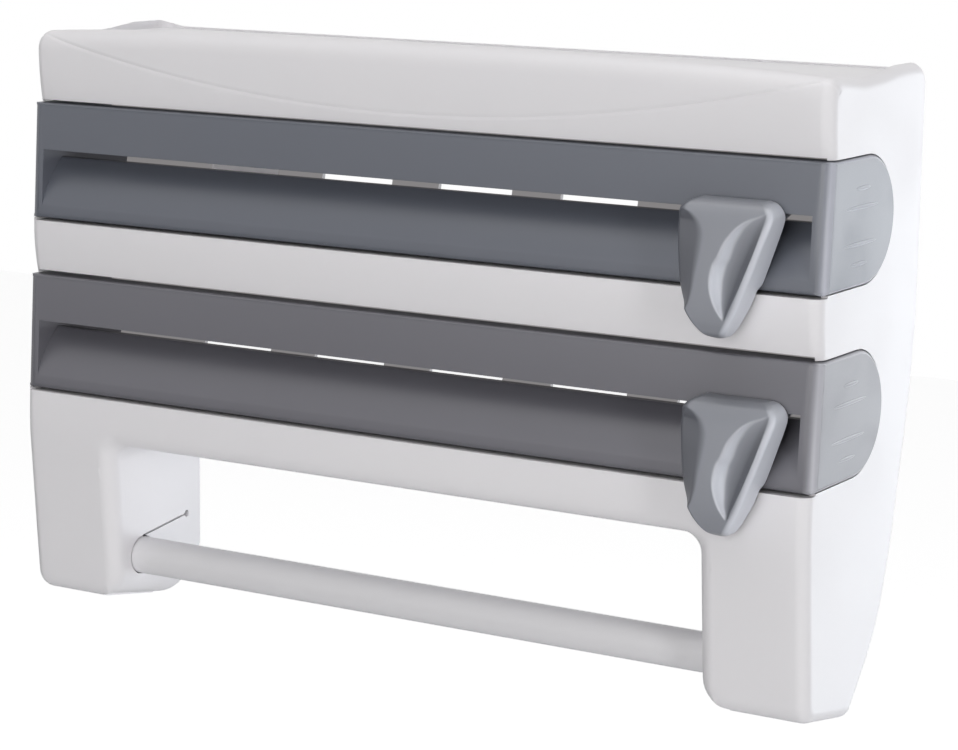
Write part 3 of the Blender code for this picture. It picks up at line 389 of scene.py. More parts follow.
def soften(piece: bpy.types.Object, width: float, wanted: Callable[[Vector], float],
           kept_below: float = -1.0) -> None:
    """Small rounding on the sharp outer edges of a piece that are seen.

    Args:
        piece: the piece.
        width: width of the widest rounding.
        wanted: share of that width for the edge with this middle.
        kept_below: height under which flat neighbouring faces stay apart, so that their shading stays even.
    """
    bm = bmesh.new()
    bm.from_mesh(piece.data)
    bmesh.ops.remove_doubles(bm, verts=bm.verts, dist=MERGE)
    spots = [vert for vert in bm.verts if vert.co.z > kept_below]
    lines = [edge for edge in bm.edges if min(vert.co.z for vert in edge.verts) > kept_below]
    bmesh.ops.dissolve_limit(bm, angle_limit=math.radians(FLAT_DEGREES), verts=spots, edges=lines)
    weights = bm.edges.layers.float.new("bevel_weight_edge")
    for edge in bm.edges:
        middle = (edge.verts[0].co + edge.verts[1].co) / 2
        sharp = edge.is_manifold and edge.is_convex and edge.calc_face_angle() > math.radians(SHARP_DEGREES)
        edge[weights] = wanted(middle) if sharp else 0.0
    bm.to_mesh(piece.data)
    bm.free()
    bevel(piece, width, SOFT_STEPS, clamp=False)


def smooth(piece: bpy.types.Object, angle: float = SMOOTH_DEGREES) -> None:
    """Smooth shading with sharp edges above an angle in degrees."""
    piece.data.shade_smooth()
    piece.data.set_sharp_from_angle(angle=math.radians(angle))


def hand_over(piece: bpy.types.Object, material: bpy.types.Material, body: str, slot: str,
              *nodes: str) -> None:
    """Dresses a finished piece and ties it to its body and to the nodes that it stands for.

    Args:
        piece: the finished piece.
        material: its finish.
        body: the body that it moves with.
        slot: the record's material slot; not used.
        nodes: CAD nodes that it replaces.
    """
    piece.data.materials.clear()
    piece.data.materials.append(material)
    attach(piece, body)
    if nodes:
        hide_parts(*nodes)
    log.info("%s: %d faces, on %s", piece.name, len(piece.data.polygons), body)


# Node making


def new_tree(name: str, kind: str, inputs: dict[str, float | int], outputs: tuple[str, ...] = ()
             ) -> bpy.types.NodeTree:
    """Node group with number inputs and outputs, and with a geometry input and output if its kind has them.

    Args:
        name: the group's name.
        kind: the tree's type.
        inputs: input names with their default values; whole numbers make whole-number sockets.
        outputs: output names.
    Returns:
        The new group, with its input and output nodes named "in" and "out".
    """
    tree = bpy.data.node_groups.new(name, kind)
    if kind == "GeometryNodeTree":
        for way in ("INPUT", "OUTPUT"):
            tree.interface.new_socket("Geometry", in_out=way, socket_type="NodeSocketGeometry")
    for label, value in inputs.items():
        number = "NodeSocketInt" if isinstance(value, int) else "NodeSocketFloat"
        tree.interface.new_socket(label, in_out="INPUT", socket_type=number).default_value = value
    for label in outputs:
        tree.interface.new_socket(label, in_out="OUTPUT", socket_type="NodeSocketFloat")
    tree.nodes.new("NodeGroupInput").name = "in"
    tree.nodes.new("NodeGroupOutput").name = "out"
    return tree


def feed(node: bpy.types.Node, inputs: dict[str | int, Any]) -> None:
    """Sets a node's inputs.

    Args:
        node: the node.
        inputs: input names or numbers, each with its value or with the socket that feeds it.
    """
    for key, value in inputs.items():
        if isinstance(value, bpy.types.NodeSocket):
            node.id_data.links.new(value, node.inputs[key])
        else:
            node.inputs[key].default_value = value


def add_node(tree: bpy.types.NodeTree, kind: str, inputs: dict[str | int, Any] | None = None,
             **settings: Any) -> bpy.types.NodeOutputs:
    """Adds a node to a tree.

    Args:
        tree: the tree.
        kind: the node's type.
        inputs: its inputs, as feed takes them.
        settings: its own settings.
    Returns:
        The node's outputs.
    """
    node = tree.nodes.new(kind)
    for name, value in settings.items():
        setattr(node, name, value)
    feed(node, inputs or {})
    return node.outputs


def maths(tree: bpy.types.NodeTree, operation: str, *values: Any) -> bpy.types.NodeSocket:
    """Result of an operation on numbers or sockets."""
    return add_node(tree, "ShaderNodeMath", dict(enumerate(values)), operation=operation)["Value"]


def noise(tree: bpy.types.NodeTree, inputs: dict[str | int, Any]) -> bpy.types.NodeSocket:
    """Noise over object coordinates."""
    place = add_node(tree, "ShaderNodeTexCoord")["Object"]
    return add_node(tree, "ShaderNodeTexNoise", {"Vector": place, **inputs})["Fac"]


def mapped(tree: bpy.types.NodeTree, value: bpy.types.NodeSocket, **ends: float) -> bpy.types.NodeSocket:
    """Value mapped from one range to another; the ends that aren't named run from 0 to 1."""
    inputs = {name.replace("_", " ").title(): end for name, end in ends.items()}
    return add_node(tree, "ShaderNodeMapRange", {"Value": value, **inputs})["Result"]


def mixed(tree: bpy.types.NodeTree, share: Any, first: Any, second: Any, kind: str = "RGBA"
          ) -> bpy.types.NodeSocket:
    """Mix of two colours or numbers.

    Args:
        tree: the tree.
        share: share of the second one.
        first: a value or a socket.
        second: a value or a socket.
        kind: type of what is mixed.
    Returns:
        The socket of the mix.
    """
    inputs = {"Factor": share, "A": first, "B": second}
    if kind == "RGBA":
        inputs = {key: (*value, 1.0) if isinstance(value, tuple) else value for key, value in inputs.items()}
    return add_node(tree, "ShaderNodeMix", inputs, data_type=kind)["Result"]


def facing(tree: bpy.types.NodeTree, axis: Axis) -> bpy.types.NodeSocket:
    """How far a face looks along an axis, from -1 to 1."""
    normal = add_node(tree, "ShaderNodeNewGeometry")["Normal"]
    return add_node(tree, "ShaderNodeSeparateXYZ", {"Vector": normal})[axis.name]


def relief(tree: bpy.types.NodeTree, depth: float, height: bpy.types.NodeSocket) -> bpy.types.NodeSocket:
    """Normal of a relief of a depth in metres over a height."""
    inputs = {"Distance": depth, "Strength": 1.0, "Height": height}
    return add_node(tree, "ShaderNodeBump", inputs)["Normal"]


def new_material(name: str) -> tuple[bpy.types.Material, bpy.types.Node]:
    """New material with its shader node.

    Args:
        name: the material's name.
    Returns:
        The material and the node.
    """
    material = bpy.data.materials.new(name)
    material.use_nodes = True
    return material, material.node_tree.nodes["Principled BSDF"]


# Finishes


def moulded_skin_group() -> bpy.types.NodeTree:
    """Skin of a moulded plastic: a faint flow waviness under a fine grain, with a tone and a gloss that vary.

    Returns:
        The group.
    """
    inputs = {"Wave Scale": 60.0, "Grain Scale": 900.0, "Grain Share": 0.3}
    group = new_tree("moulded_skin", "ShaderNodeTree", inputs, ("Height", "Gloss", "Tone"))
    source = group.nodes["in"].outputs
    wave = noise(group, {"Scale": source["Wave Scale"], "Detail": 2.0})
    grain = noise(group, {"Scale": source["Grain Scale"], "Detail": 3.0})
    tone = noise(group, {"Scale": 14.0, "Detail": 4.0})
    height = mixed(group, source["Grain Share"], wave, grain, "FLOAT")
    feed(group.nodes["out"], {"Height": height, "Gloss": maths(group, "MULTIPLY", grain, tone), "Tone": tone})
    return group


def handling_group() -> bpy.types.NodeTree:
    """Traces of handling: soft smears, and dust that settles on what faces up.

    Returns:
        The group.
    """
    inputs = {"Smear Scale": 30.0, "Dust Scale": 220.0}
    group = new_tree("handling", "ShaderNodeTree", inputs, ("Smear", "Dust"))
    source = group.nodes["in"].outputs
    smear = noise(group, {"Scale": source["Smear Scale"], "Detail": 5.0, "Distortion": 0.6})
    dust = noise(group, {"Scale": source["Dust Scale"], "Detail": 6.0})
    level = mapped(group, facing(group, Axis.Z), from_min=0.55)
    feed(group.nodes["out"], {"Smear": mapped(group, smear, from_min=0.5, from_max=0.75),
                              "Dust": maths(group, "MULTIPLY", level, dust)})
    return group


@dataclass(frozen=True)
class MouldedPlastic:
    """Moulded plastic with a satin or glossy skin.

    Attributes:
        name: the material's name.
        colour: its colour, linear.
        deep: the colour in the darker patches of the flow.
        roughness: roughness of the cleanest spots.
        spread: how much rougher the dullest spots are.
        ior: index of refraction, which sets the sheen.
        wave_scale: waviness of the skin, waves per metre.
        grain_scale: grain of the skin, grains per metre.
        bump: height of the skin's relief, in metres.
        glow: painted glow, linear, that the surface emits to light itself where the lamps leave it dark; none
            on a thick wall.
        painted_light_colour: colour of painted light on faces that look to +X, a painted highlight and sheen;
            none if it is the same all round.
        painted_light_ramp: share of that colour against how far a face looks to +X, from -1 to 1.
        thin: share of the light that falls on the back and shows through a thin wall.
    """

    name: str
    colour: Triple
    deep: Triple
    roughness: float
    spread: float
    ior: float
    wave_scale: float
    grain_scale: float
    bump: float
    glow: Triple = (0.0, 0.0, 0.0)
    painted_light_colour: Triple | None = None
    painted_light_ramp: Table = ()
    thin: float = 0.0

    DUST_KEPT = 0.85
    DUST_LIFT = 0.10
    DUST_SHARE = 0.15
    SMEAR_SHARE = 0.6
    GLOSS_TOP = 0.5

    def paint_side_light(self, tree: bpy.types.NodeTree, colour: bpy.types.NodeSocket) -> bpy.types.NodeSocket:
        """Paints light: turns a colour paler on what looks to +X, a painted highlight and sheen where the
        lamps on the right fall.

        Args:
            tree: the material's node tree.
            colour: the colour's socket.
        Returns:
            The socket of the new colour.
        """
        ramp = tree.nodes.new("ShaderNodeValToRGB")
        elements = ramp.color_ramp.elements
        while len(elements) < len(self.painted_light_ramp):
            elements.new(0.5)
        for element, (toward, share) in zip(elements, self.painted_light_ramp):
            element.position = (toward + 1) / 2
            element.color = (share, share, share, 1.0)
        feed(ramp, {"Fac": mapped(tree, facing(tree, Axis.X), from_min=-1.0)})
        return mixed(tree, ramp.outputs["Color"], colour, self.painted_light_colour)

    def build(self) -> bpy.types.Material:
        """Makes the material from the shared groups.

        Returns:
            The new material.
        """
        material, shader = new_material(self.name)
        tree = material.node_tree
        groups = bpy.data.node_groups
        scales = {"Wave Scale": self.wave_scale, "Grain Scale": self.grain_scale}
        skin = add_node(tree, "ShaderNodeGroup", scales, node_tree=groups["moulded_skin"])
        traces = add_node(tree, "ShaderNodeGroup", node_tree=groups["handling"])
        colour = mixed(tree, skin["Tone"], self.colour, self.deep)
        # Painted light: faces that look to +X are drawn paler, a painted highlight and sheen.
        if self.painted_light_colour:
            colour = self.paint_side_light(tree, colour)
        dust = tuple(value * self.DUST_KEPT + self.DUST_LIFT for value in self.colour)
        rough = mapped(tree, skin["Gloss"], from_max=self.GLOSS_TOP, to_min=self.roughness,
                       to_max=self.roughness + self.spread)
        feed(shader, {
            "Base Color": mixed(tree, maths(tree, "MULTIPLY", traces["Dust"], self.DUST_SHARE), colour, dust),
            "Roughness": maths(tree, "MULTIPLY_ADD", traces["Smear"], self.spread * self.SMEAR_SHARE, rough),
            "IOR": self.ior,
            "Normal": relief(tree, self.bump, skin["Height"]),
            # Painted glow: the emission lights the surface itself.
            "Emission Color": (*self.glow, 1.0),
            "Emission Strength": 1.0 if any(self.glow) else 0.0,
        })
        if self.thin:
            through = add_node(tree, "ShaderNodeBsdfTranslucent", {"Color": (*self.colour, 1.0)})["BSDF"]
            both = {"Fac": self.thin, 1: shader.outputs["BSDF"], 2: through}
            mix = add_node(tree, "ShaderNodeMixShader", both)
            feed(tree.nodes["Material Output"], {"Surface": mix["Shader"]})
        return material


@dataclass(frozen=True)
class DrawnSteel:
    """Bright drawn steel of blades and screws, with fine lines along one axis.

    Attributes:
        name: the material's name.
        colour: its colour, linear.
        roughness: its roughness between the lines.
        stretch: scales of the lines along X, Y and Z, lines per metre.
    """

    name: str
    colour: Triple
    roughness: float
    stretch: Triple

    LINE_DEPTH = 0.00002
    LINE_DARK = 0.8
    LINE_ROUGH = 0.18

    def build(self) -> bpy.types.Material:
        """Makes the material.

        Returns:
            The new material.
        """
        material, shader = new_material(self.name)
        tree = material.node_tree
        place = add_node(tree, "ShaderNodeTexCoord")["Object"]
        stretched = add_node(tree, "ShaderNodeMapping", {"Vector": place, "Scale": self.stretch})["Vector"]
        fine = {"Vector": stretched, "Scale": 1.0, "Detail": 4.0}
        lines = add_node(tree, "ShaderNodeTexNoise", fine)["Fac"]
        dark = tuple(value * self.LINE_DARK for value in self.colour)
        feed(shader, {
            "Base Color": mixed(tree, lines, self.colour, dark),
            "Metallic": 1.0,
            "Roughness": mapped(tree, lines, to_min=self.roughness, to_max=self.roughness + self.LINE_ROUGH),
            "Normal": relief(tree, self.LINE_DEPTH, lines),
        })
        return material


# Painted highlight on the drawers' right front edge rounding, and a slightly paler right cheek, as shares of
# the pale colour against how far a face looks to +X.
EDGE_PAINTED_HIGHLIGHT = ((0.30, 0.0), (0.78, 1.0), (0.95, 0.85), (1.0, 0.12))
# Painted light on the knobs' right-facing walls, scoop and rim, as shares of the pale colour against how far
# a face looks to +X.
KNOB_PAINTED_LIGHT = ((-0.45, 0.0), (0.0, 0.26), (0.40, 0.70), (0.80, 1.0))
FINISHES = (
    MouldedPlastic("white_shell", (0.80, 0.785, 0.80), (0.775, 0.76, 0.78), 0.34, 0.10, 1.45, 70.0, 1100.0,
                   0.00003),
    MouldedPlastic("white_frame", (0.80, 0.785, 0.79), (0.775, 0.76, 0.77), 0.38, 0.10, 1.45, 70.0, 1100.0,
                   0.00003, thin=0.5),
    MouldedPlastic("white_bar", (0.74, 0.73, 0.745), (0.71, 0.70, 0.72), 0.28, 0.10, 1.45, 90.0, 1300.0,
                   0.00002),
    # Drawer greys: their pale colour is a painted highlight on the right front edge.
    MouldedPlastic("upper_grey", (0.102, 0.110, 0.134), (0.092, 0.100, 0.123), 0.34, 0.12, 1.65, 80.0, 1200.0,
                   0.00003, painted_light_colour=(0.42, 0.43, 0.49), painted_light_ramp=EDGE_PAINTED_HIGHLIGHT),
    MouldedPlastic("lower_grey", (0.121, 0.119, 0.137), (0.110, 0.108, 0.125), 0.34, 0.12, 1.65, 80.0, 1200.0,
                   0.00003, painted_light_colour=(0.43, 0.43, 0.47), painted_light_ramp=EDGE_PAINTED_HIGHLIGHT),
    # Knob grey: its pale colour is painted light on the right-facing walls.
    MouldedPlastic("knob_grey", (0.100, 0.105, 0.125), (0.092, 0.097, 0.116), 0.32, 0.10, 1.60, 110.0, 1500.0,
                   0.00002, painted_light_colour=(0.64, 0.66, 0.72), painted_light_ramp=KNOB_PAINTED_LIGHT),
    # Trough grey with a painted glow on the rear wall inside the trough.
    MouldedPlastic("trough_grey", (0.102, 0.110, 0.134), (0.092, 0.100, 0.123), 0.40, 0.12, 1.50, 80.0,
                   1200.0, 0.00003, glow=(0.225, 0.215, 0.215)),
    MouldedPlastic("dark_shoe", (0.030, 0.030, 0.034), (0.022, 0.022, 0.026), 0.45, 0.12, 1.48, 120.0, 1500.0,
                   0.00003),
    DrawnSteel("blade_steel", (0.62, 0.62, 0.64), 0.22, (400.0, 400.0, 6000.0)),
    DrawnSteel("screw_steel", (0.58, 0.58, 0.58), 0.30, (2500.0, 2500.0, 2500.0)),
)


# Geometry node trees for what repeats


def grow(piece: bpy.types.Object, tree: bpy.types.NodeTree, values: dict[str, float | int]) -> None:
    """Runs a geometry node tree on a piece with its own values, and turns the result into plain mesh.

    Args:
        piece: the piece that the tree works on.
        tree: the tree.
        values: input names with their values.
    """
    modifier = piece.modifiers.new(tree.name, "NODES")
    modifier.node_group = tree
    for item in tree.interface.items_tree:
        if item.item_type == "SOCKET" and item.in_out == "INPUT" and item.name in values:
            modifier[item.identifier] = values[item.name]
    settle(piece)


def points_object(name: str, places: list[Vector], lengths: list[float]) -> bpy.types.Object:
    """Loose points for a tree to work on, each with a "length" of its own.

    Args:
        name: the object's name.
        places: the points.
        lengths: a length for each point.
    Returns:
        The new object.
    """
    mesh = bpy.data.meshes.new(name)
    mesh.from_pydata([tuple(place) for place in places], [], [])
    mesh.attributes.new("length", "FLOAT", "POINT").data.foreach_set("value", lengths)
    return add_object(name, mesh)


def triple(tree: bpy.types.NodeTree, **parts: Any) -> bpy.types.NodeSocket:
    """Vector of the named parts x, y and z; the others are 0."""
    inputs = {name.upper(): part for name, part in parts.items()}
    return add_node(tree, "ShaderNodeCombineXYZ", inputs)["Vector"]


def lay_out(tree: bpy.types.NodeTree, material: bpy.types.Material, inputs: dict[str | int, Any]) -> None:
    """Ends a tree: an instance on each point, made real and dressed.

    Args:
        tree: the tree.
        material: the material that is set.
        inputs: the points, the instance and its scale.
    """
    laid = add_node(tree, "GeometryNodeInstanceOnPoints", inputs)["Instances"]
    real = add_node(tree, "GeometryNodeRealizeInstances", {"Geometry": laid})["Geometry"]
    dressed = add_node(tree, "GeometryNodeSetMaterial", {"Geometry": real, "Material": material})["Geometry"]
    feed(tree.nodes["out"], {"Geometry": dressed})


def grip_rib_tree(material: bpy.types.Material) -> bpy.types.NodeTree:
    """Tree that sets a long low rib along Y on each point, as long as the point's length.

    Args:
        material: the ribs' finish.
    Returns:
        The tree.
    """
    tree = new_tree("grip_ribs_" + material.name, "GeometryNodeTree", {"Width": 0.0012, "Proud": 0.0004})
    source = tree.nodes["in"].outputs
    bead = add_node(tree, "GeometryNodeMeshUVSphere", {"Segments": 16, "Rings": 24, "Radius": 1.0})["Mesh"]
    length = add_node(tree, "GeometryNodeInputNamedAttribute", {"Name": "length"},
                      data_type="FLOAT")["Attribute"]
    scale = triple(tree, x=source["Proud"], y=length, z=maths(tree, "MULTIPLY", source["Width"], 0.5))
    turned = add_node(tree, "GeometryNodeTransform", {"Geometry": bead, "Rotation": (QUARTER, 0.0, 0.0)})
    lay_out(tree, material, {"Points": source["Geometry"], "Instance": turned["Geometry"], "Scale": scale})
    return tree


def window_row_tree(material: bpy.types.Material) -> bpy.types.NodeTree:
    """Tree that lays a row of boxes along X, which cut the rear windows of a drawer.

    Args:
        material: finish of the cut faces.
    Returns:
        The tree.
    """
    tree = new_tree("window_row_" + material.name, "GeometryNodeTree",
                    {"Count": 5, "Pitch": 0.0610, "Length": 0.037, "Depth": 0.05, "Height": 0.012})
    source = tree.nodes["in"].outputs
    size = triple(tree, x=source["Length"], y=source["Depth"], z=source["Height"])
    cube = add_node(tree, "GeometryNodeMeshCube", {"Size": size})["Mesh"]
    span = maths(tree, "MULTIPLY", maths(tree, "SUBTRACT", source["Count"], 1.0), source["Pitch"])
    line = add_node(tree, "GeometryNodeMeshLine", {
        "Count": source["Count"], "Start Location": triple(tree, x=maths(tree, "MULTIPLY", span, -0.5)),
        "Offset": triple(tree, x=source["Pitch"])})["Mesh"]
    lay_out(tree, material, {"Points": line, "Instance": cube})
    return tree


# Sub-assemblies


@dataclass(frozen=True)
class Levels:
    """Heights and depths that the sub-assemblies share."""

    shelf: float = 0.0175
    drawer_height: float = 0.0510
    depth: float = 0.0940
    lean: float = math.radians(3.4)
    band_proud: float = 0.0014
    band_back: float = 0.0026
    gap_top: float = -0.1642
    toe: float = -0.2355
    leg_foot: float = -0.2430
    leg_sweep: float = 0.0080
    rear_sweep: float = 0.0550
    gap_half: float = 0.1460
    bar_y: float = -0.0795
    bar_z: float = -0.2180

    def face(self, z: float) -> float:
        """Depth of the drawers' face line, which leans forward going down."""
        return -self.depth + (z - Tier.UPPER.top) * math.tan(self.lean)

    def foot_of(self, tier: Tier) -> float:
        """Height of a drawer's lower edge."""
        return tier.top - self.drawer_height

    def band(self, z: float, top: float, foot: float) -> float:
        """Front of a white band: before the face line at its top, behind it at its foot."""
        share = (top - z) / (top - foot)
        return self.face(z) - self.band_proud + (self.band_proud + self.band_back) * share * share

    def top_band(self, z: float) -> float:
        """Front of the band over the upper drawer."""
        return self.band(z, self.shelf, Tier.UPPER.top)

    def mid_band(self, z: float) -> float:
        """Front of the band between the drawers."""
        return self.band(z, self.foot_of(Tier.UPPER), Tier.LOWER.top)

    def leg(self, z: float) -> float:
        """Front of the legs and of the band over the gap.

        Args:
            z: the height.
        Returns:
            The depth there.
        """
        start = self.foot_of(Tier.LOWER)
        share = (start - z) / (start - self.leg_foot)
        return self.face(start) - self.band_proud + self.leg_sweep * along(LEG_FRONT, share)

    def foot(self, y: float) -> float:
        """Line of the legs' undersides, which rises from the heel to the toe."""
        toe = self.leg(self.toe)
        return self.toe - (self.toe - self.leg_foot) * (y - toe) / (-self.rear_sweep - toe)


LEVELS = Levels()
LEG_FRONT: Table = ((0.0, 0.0), (0.17, -0.05), (0.36, 0.12), (0.635, 0.40), (0.80, 0.58), (1.0, 0.80))
REAR_EDGE: Table = ((0.0, 0.0), (0.20, 0.07), (0.41, 0.20), (0.605, 0.33), (0.815, 0.565), (1.0, 1.0))


@dataclass
class Housing:
    """White moulded body: shelf, bands, decks, legs with their hollow insides, and the bar's seats."""

    half: float = 0.1940
    wall: float = 0.0028
    deck: float = 0.0025
    gap: float = 0.0004
    foot_gap: float = 0.0013
    edge: float = 0.0054
    top_edge: float = 0.0080
    top_share: float = 1.05
    rear_edge: float = 0.0015
    crown: float = 0.0041
    crease_depth: float = 0.00036
    crease_half: float = 0.0011
    crease_room: float = 2.5
    crease_drop: float = 0.0249
    crease_span: float = 0.1930
    lip_back: float = 0.0120
    lip_slope: float = 0.0020
    rim: float = 0.0045
    rim_dip: float = 0.0017
    tray_depth: float = 0.0025
    tray_corner: float = 0.0060
    wing_rise: float = 0.0030
    wing_edge: float = 0.0095
    wing_foot: float = 0.0620
    wing_top: float = 0.0270
    wing_fade: float = 0.0100
    rear_flat: float = 0.1035
    toe_edge: float = 0.0100
    heel_edge: float = 0.0060
    gap_corner: float = 0.0080
    gap_flare: float = 0.0070
    foot_corner: float = 0.0120
    inner_depth: float = 0.0670
    seat_bore: float = 0.0088
    seat_depth: float = 0.0105
    seat_wall: float = 0.0024
    slit_width: float = 0.0010
    slit_length: float = 0.0330
    slit_rise: float = 0.0040
    slit_hole: float = 0.0016
    frame_seat: float = 0.0043
    stations: int = 96
    arc: int = 8
    fine: int = 16
    soft_edge: float = 0.0006

    def outline(self, x: float) -> list[Vector]:
        """Side outline (y, z) of the housing at a place across its width.

        Args:
            x: the place.
        Returns:
            The outline's points.
        """
        lv = LEVELS
        top = lv.shelf + self.crown * (1 - abs(x / self.half) ** 3)
        fade = ease((abs(x) - self.half + self.rim + self.wing_fade) / self.wing_fade)
        wing = self.wing_rise * fade
        rim = lv.shelf - self.rim_dip
        front = lv.top_band(lv.shelf)
        flat_end = lv.shelf - self.rear_flat
        points = [(front + self.lip_back, lv.shelf), (front + self.lip_back - self.lip_slope, top)]
        points += [tuple(point) for point in self.creased_front(x, top)]
        points += [(lv.mid_band(z), z) for z in spread(lv.foot_of(Tier.UPPER), Tier.LOWER.top, self.arc)]
        last = lv.toe + self.toe_edge * 2
        points += [(lv.leg(z), z) for z in spread(lv.foot_of(Tier.LOWER), last, self.fine)]
        corners: list[tuple[Pair, float]] = [(point, 0) for point in points]
        corners += [((lv.leg(lv.toe), lv.toe), self.toe_edge),
                    ((-lv.rear_sweep, lv.leg_foot), self.heel_edge)]
        for z in spread(lv.leg_foot + self.heel_edge * 2, flat_end, self.fine):
            share = (flat_end - z) / (flat_end - lv.leg_foot)
            corners.append(((-lv.rear_sweep * along(REAR_EDGE, share), z), 0))
        corners += [((0, rim + wing), self.rear_edge + (self.wing_edge - self.rear_edge) * fade),
                    ((-self.wing_top, rim + wing), 0),
                    ((-(self.wing_top + self.wing_foot) / 2, rim + wing / 3), 0),
                    ((-self.wing_foot, rim), 0)]
        return rounded(corners, self.arc)

    def creased_front(self, x: float, top: float) -> list[Vector]:
        """Front of the top band (y, z), from its rounded top edge down, with the shallow arc-shaped crease.

        Args:
            x: place across the width.
            top: height of the top edge there.
        Returns:
            The front's points.
        """
        lv = LEVELS
        front = lv.top_band(lv.shelf)
        start = lv.shelf - self.top_edge * self.top_share
        corners: list[tuple[Pair, float]] = [((front + self.lip_back - self.lip_slope, top), 0),
                                             ((front, top), self.top_edge)]
        corners += [((lv.top_band(z), z), 0) for z in spread(start, Tier.UPPER.top, self.arc)]
        line = rounded(corners, self.fine)[1:]
        crease = lv.shelf - self.crease_drop * (1 - (x / self.crease_span) ** 2)
        total = sum((b - a).length for a, b in zip(line, line[1:]))
        least = self.crease_half * self.crease_room
        middle, below = 0.0, 0.0
        for first, second in zip(line[::-1], line[-2::-1]):
            if second.y >= crease:
                share = (crease - first.y) / max(MERGE, second.y - first.y)
                middle = total - below - (second - first).length * share
                break
            below += (second - first).length
        depth = self.crease_depth * ease((middle - least) / least)
        middle = max(least, middle)
        span = self.crease_half * 2
        places = spread(0.0, middle - span, self.fine)[:-1]
        places += [middle + span * share for share in spread(-1.0, 1.0, self.arc)]
        places += [middle + span + rest for rest in spread(0.0, total - middle - span, self.fine)[1:]]
        points = []
        for place in places:
            step = (part_way(line, place + NEAR * 2) - part_way(line, place - NEAR * 2)).normalized()
            sunk = depth * max(0.0, 1 - abs(place - middle) / self.crease_half)
            points.append(part_way(line, place) + Vector((-step.y, step.x)) * sunk)
        return points

    def make_block(self) -> bpy.types.Object:
        """Outer form, lofted across the width, with its side edges rounded.

        Returns:
            The solid form.
        """
        flat = self.half - self.edge
        ends = [(flat + self.edge * cos, self.edge * (1 - sin)) for cos, sin in turns(QUARTER, self.arc)[:-1]]
        places = ends + [(flat * share, 0.0) for share in spread(1.0, -1.0, self.stations)]
        places += [(-x, inset) for x, inset in reversed(ends)]
        rings = []
        for x, inset in places:
            rings.append([(x, *p) for p in moved(self.outline(max(-flat, min(flat, x))), inset)])
        return loft(rings, "housing_shell")

    def cut_bays(self, shell: bpy.types.Object) -> None:
        """Cuts the drawer bays, with the dark gaps round the drawers, and the notches in the sides.

        Args:
            shell: the housing.
        """
        inner = self.half - self.wall
        reach = self.half + OVERRUN
        front = -LEVELS.depth - OVERRUN
        for tier in Tier:
            carve(shell, prism(drawer_outline(tier, self.gap, OVERRUN), Axis.X, -reach, reach))
            foot = LEVELS.foot_of(tier) - self.foot_gap
            for right, back in ((inner, OVERRUN), (reach, LEVELS.face(foot) + self.edge)):
                carve(shell, block((-inner, front, foot), (right, back, tier.top + tier.slack)))

    def cut_chambers(self, shell: bpy.types.Object) -> None:
        """Cuts the hollows behind the bands, open to the rear, and the back frame's seat.

        Args:
            shell: the housing.
        """
        lv = LEVELS
        inner = self.half - self.wall
        floor = self.gap + self.deck
        ceiling = lv.shelf - self.wall
        bend = lv.shelf - self.top_edge
        deck_foot = lv.shelf - self.tray_depth - self.deck
        lip_rear = lv.top_band(lv.shelf) + self.lip_back - self.wall
        head = [(lv.top_band(bend) + self.wall + self.top_edge / 2, ceiling), (lip_rear, ceiling),
                (lip_rear, deck_foot), (OVERRUN, deck_foot)]
        chambers = ((lv.top_band, Tier.UPPER.top + floor, bend, head),
                    (lv.mid_band, Tier.LOWER.top + floor, lv.foot_of(Tier.UPPER) - floor, []),
                    (lv.leg, lv.gap_top + self.wall, lv.foot_of(Tier.LOWER) - floor, []))
        for band, foot, top, more in chambers:
            outline = [(band(foot) + self.wall, foot), (band(top) + self.wall, top),
                       *(more or [(OVERRUN, top)]), (OVERRUN, foot)]
            carve(shell, prism([Vector(place) for place in outline], Axis.X, -inner, inner))
        carve(shell, block((-inner, -self.frame_seat, Tier.LOWER.top + floor), (inner, OVERRUN, deck_foot)))

    def cut_shelf(self, shell: bpy.types.Object) -> None:
        """Sinks the shelf below its rim.

        Args:
            shell: the housing.
        """
        front = LEVELS.top_band(LEVELS.shelf) + self.lip_back
        half = self.half - self.rim
        places = ((half, front), (half, -self.rim), (-half, -self.rim), (-half, front))
        outline = rounded([(place, self.tray_corner) for place in places], self.arc)
        carve(shell, prism(outline, Axis.Z, LEVELS.shelf - self.tray_depth, LEVELS.shelf + OVERRUN))

    def gap_outline(self, extra: float, y: float) -> list[Pair]:
        """Space between the legs (x, z), with rounded corners at its top and at the feet.

        Args:
            extra: how much larger it is all round.
            y: depth at which the feet's undersides are taken.
        Returns:
            The outline's points.
        """
        half = LEVELS.gap_half + extra
        foot = LEVELS.foot(y)
        knee = foot + self.foot_corner
        shoulder = LEVELS.gap_top + extra - self.gap_corner
        turn = turns(QUARTER, self.arc)
        side = [(half - self.gap_corner * (1 - sin), shoulder + self.gap_corner * cos) for cos, sin in turn]
        side += [(half, z) for z in spread(shoulder, knee, self.fine)[1:-1]]
        side += [(half + self.foot_corner * (1 - cos), knee - self.foot_corner * sin) for cos, sin in turn]
        side.append((half + self.foot_corner, foot - OVERRUN))
        return side + [(-x, z) for x, z in reversed(side)]

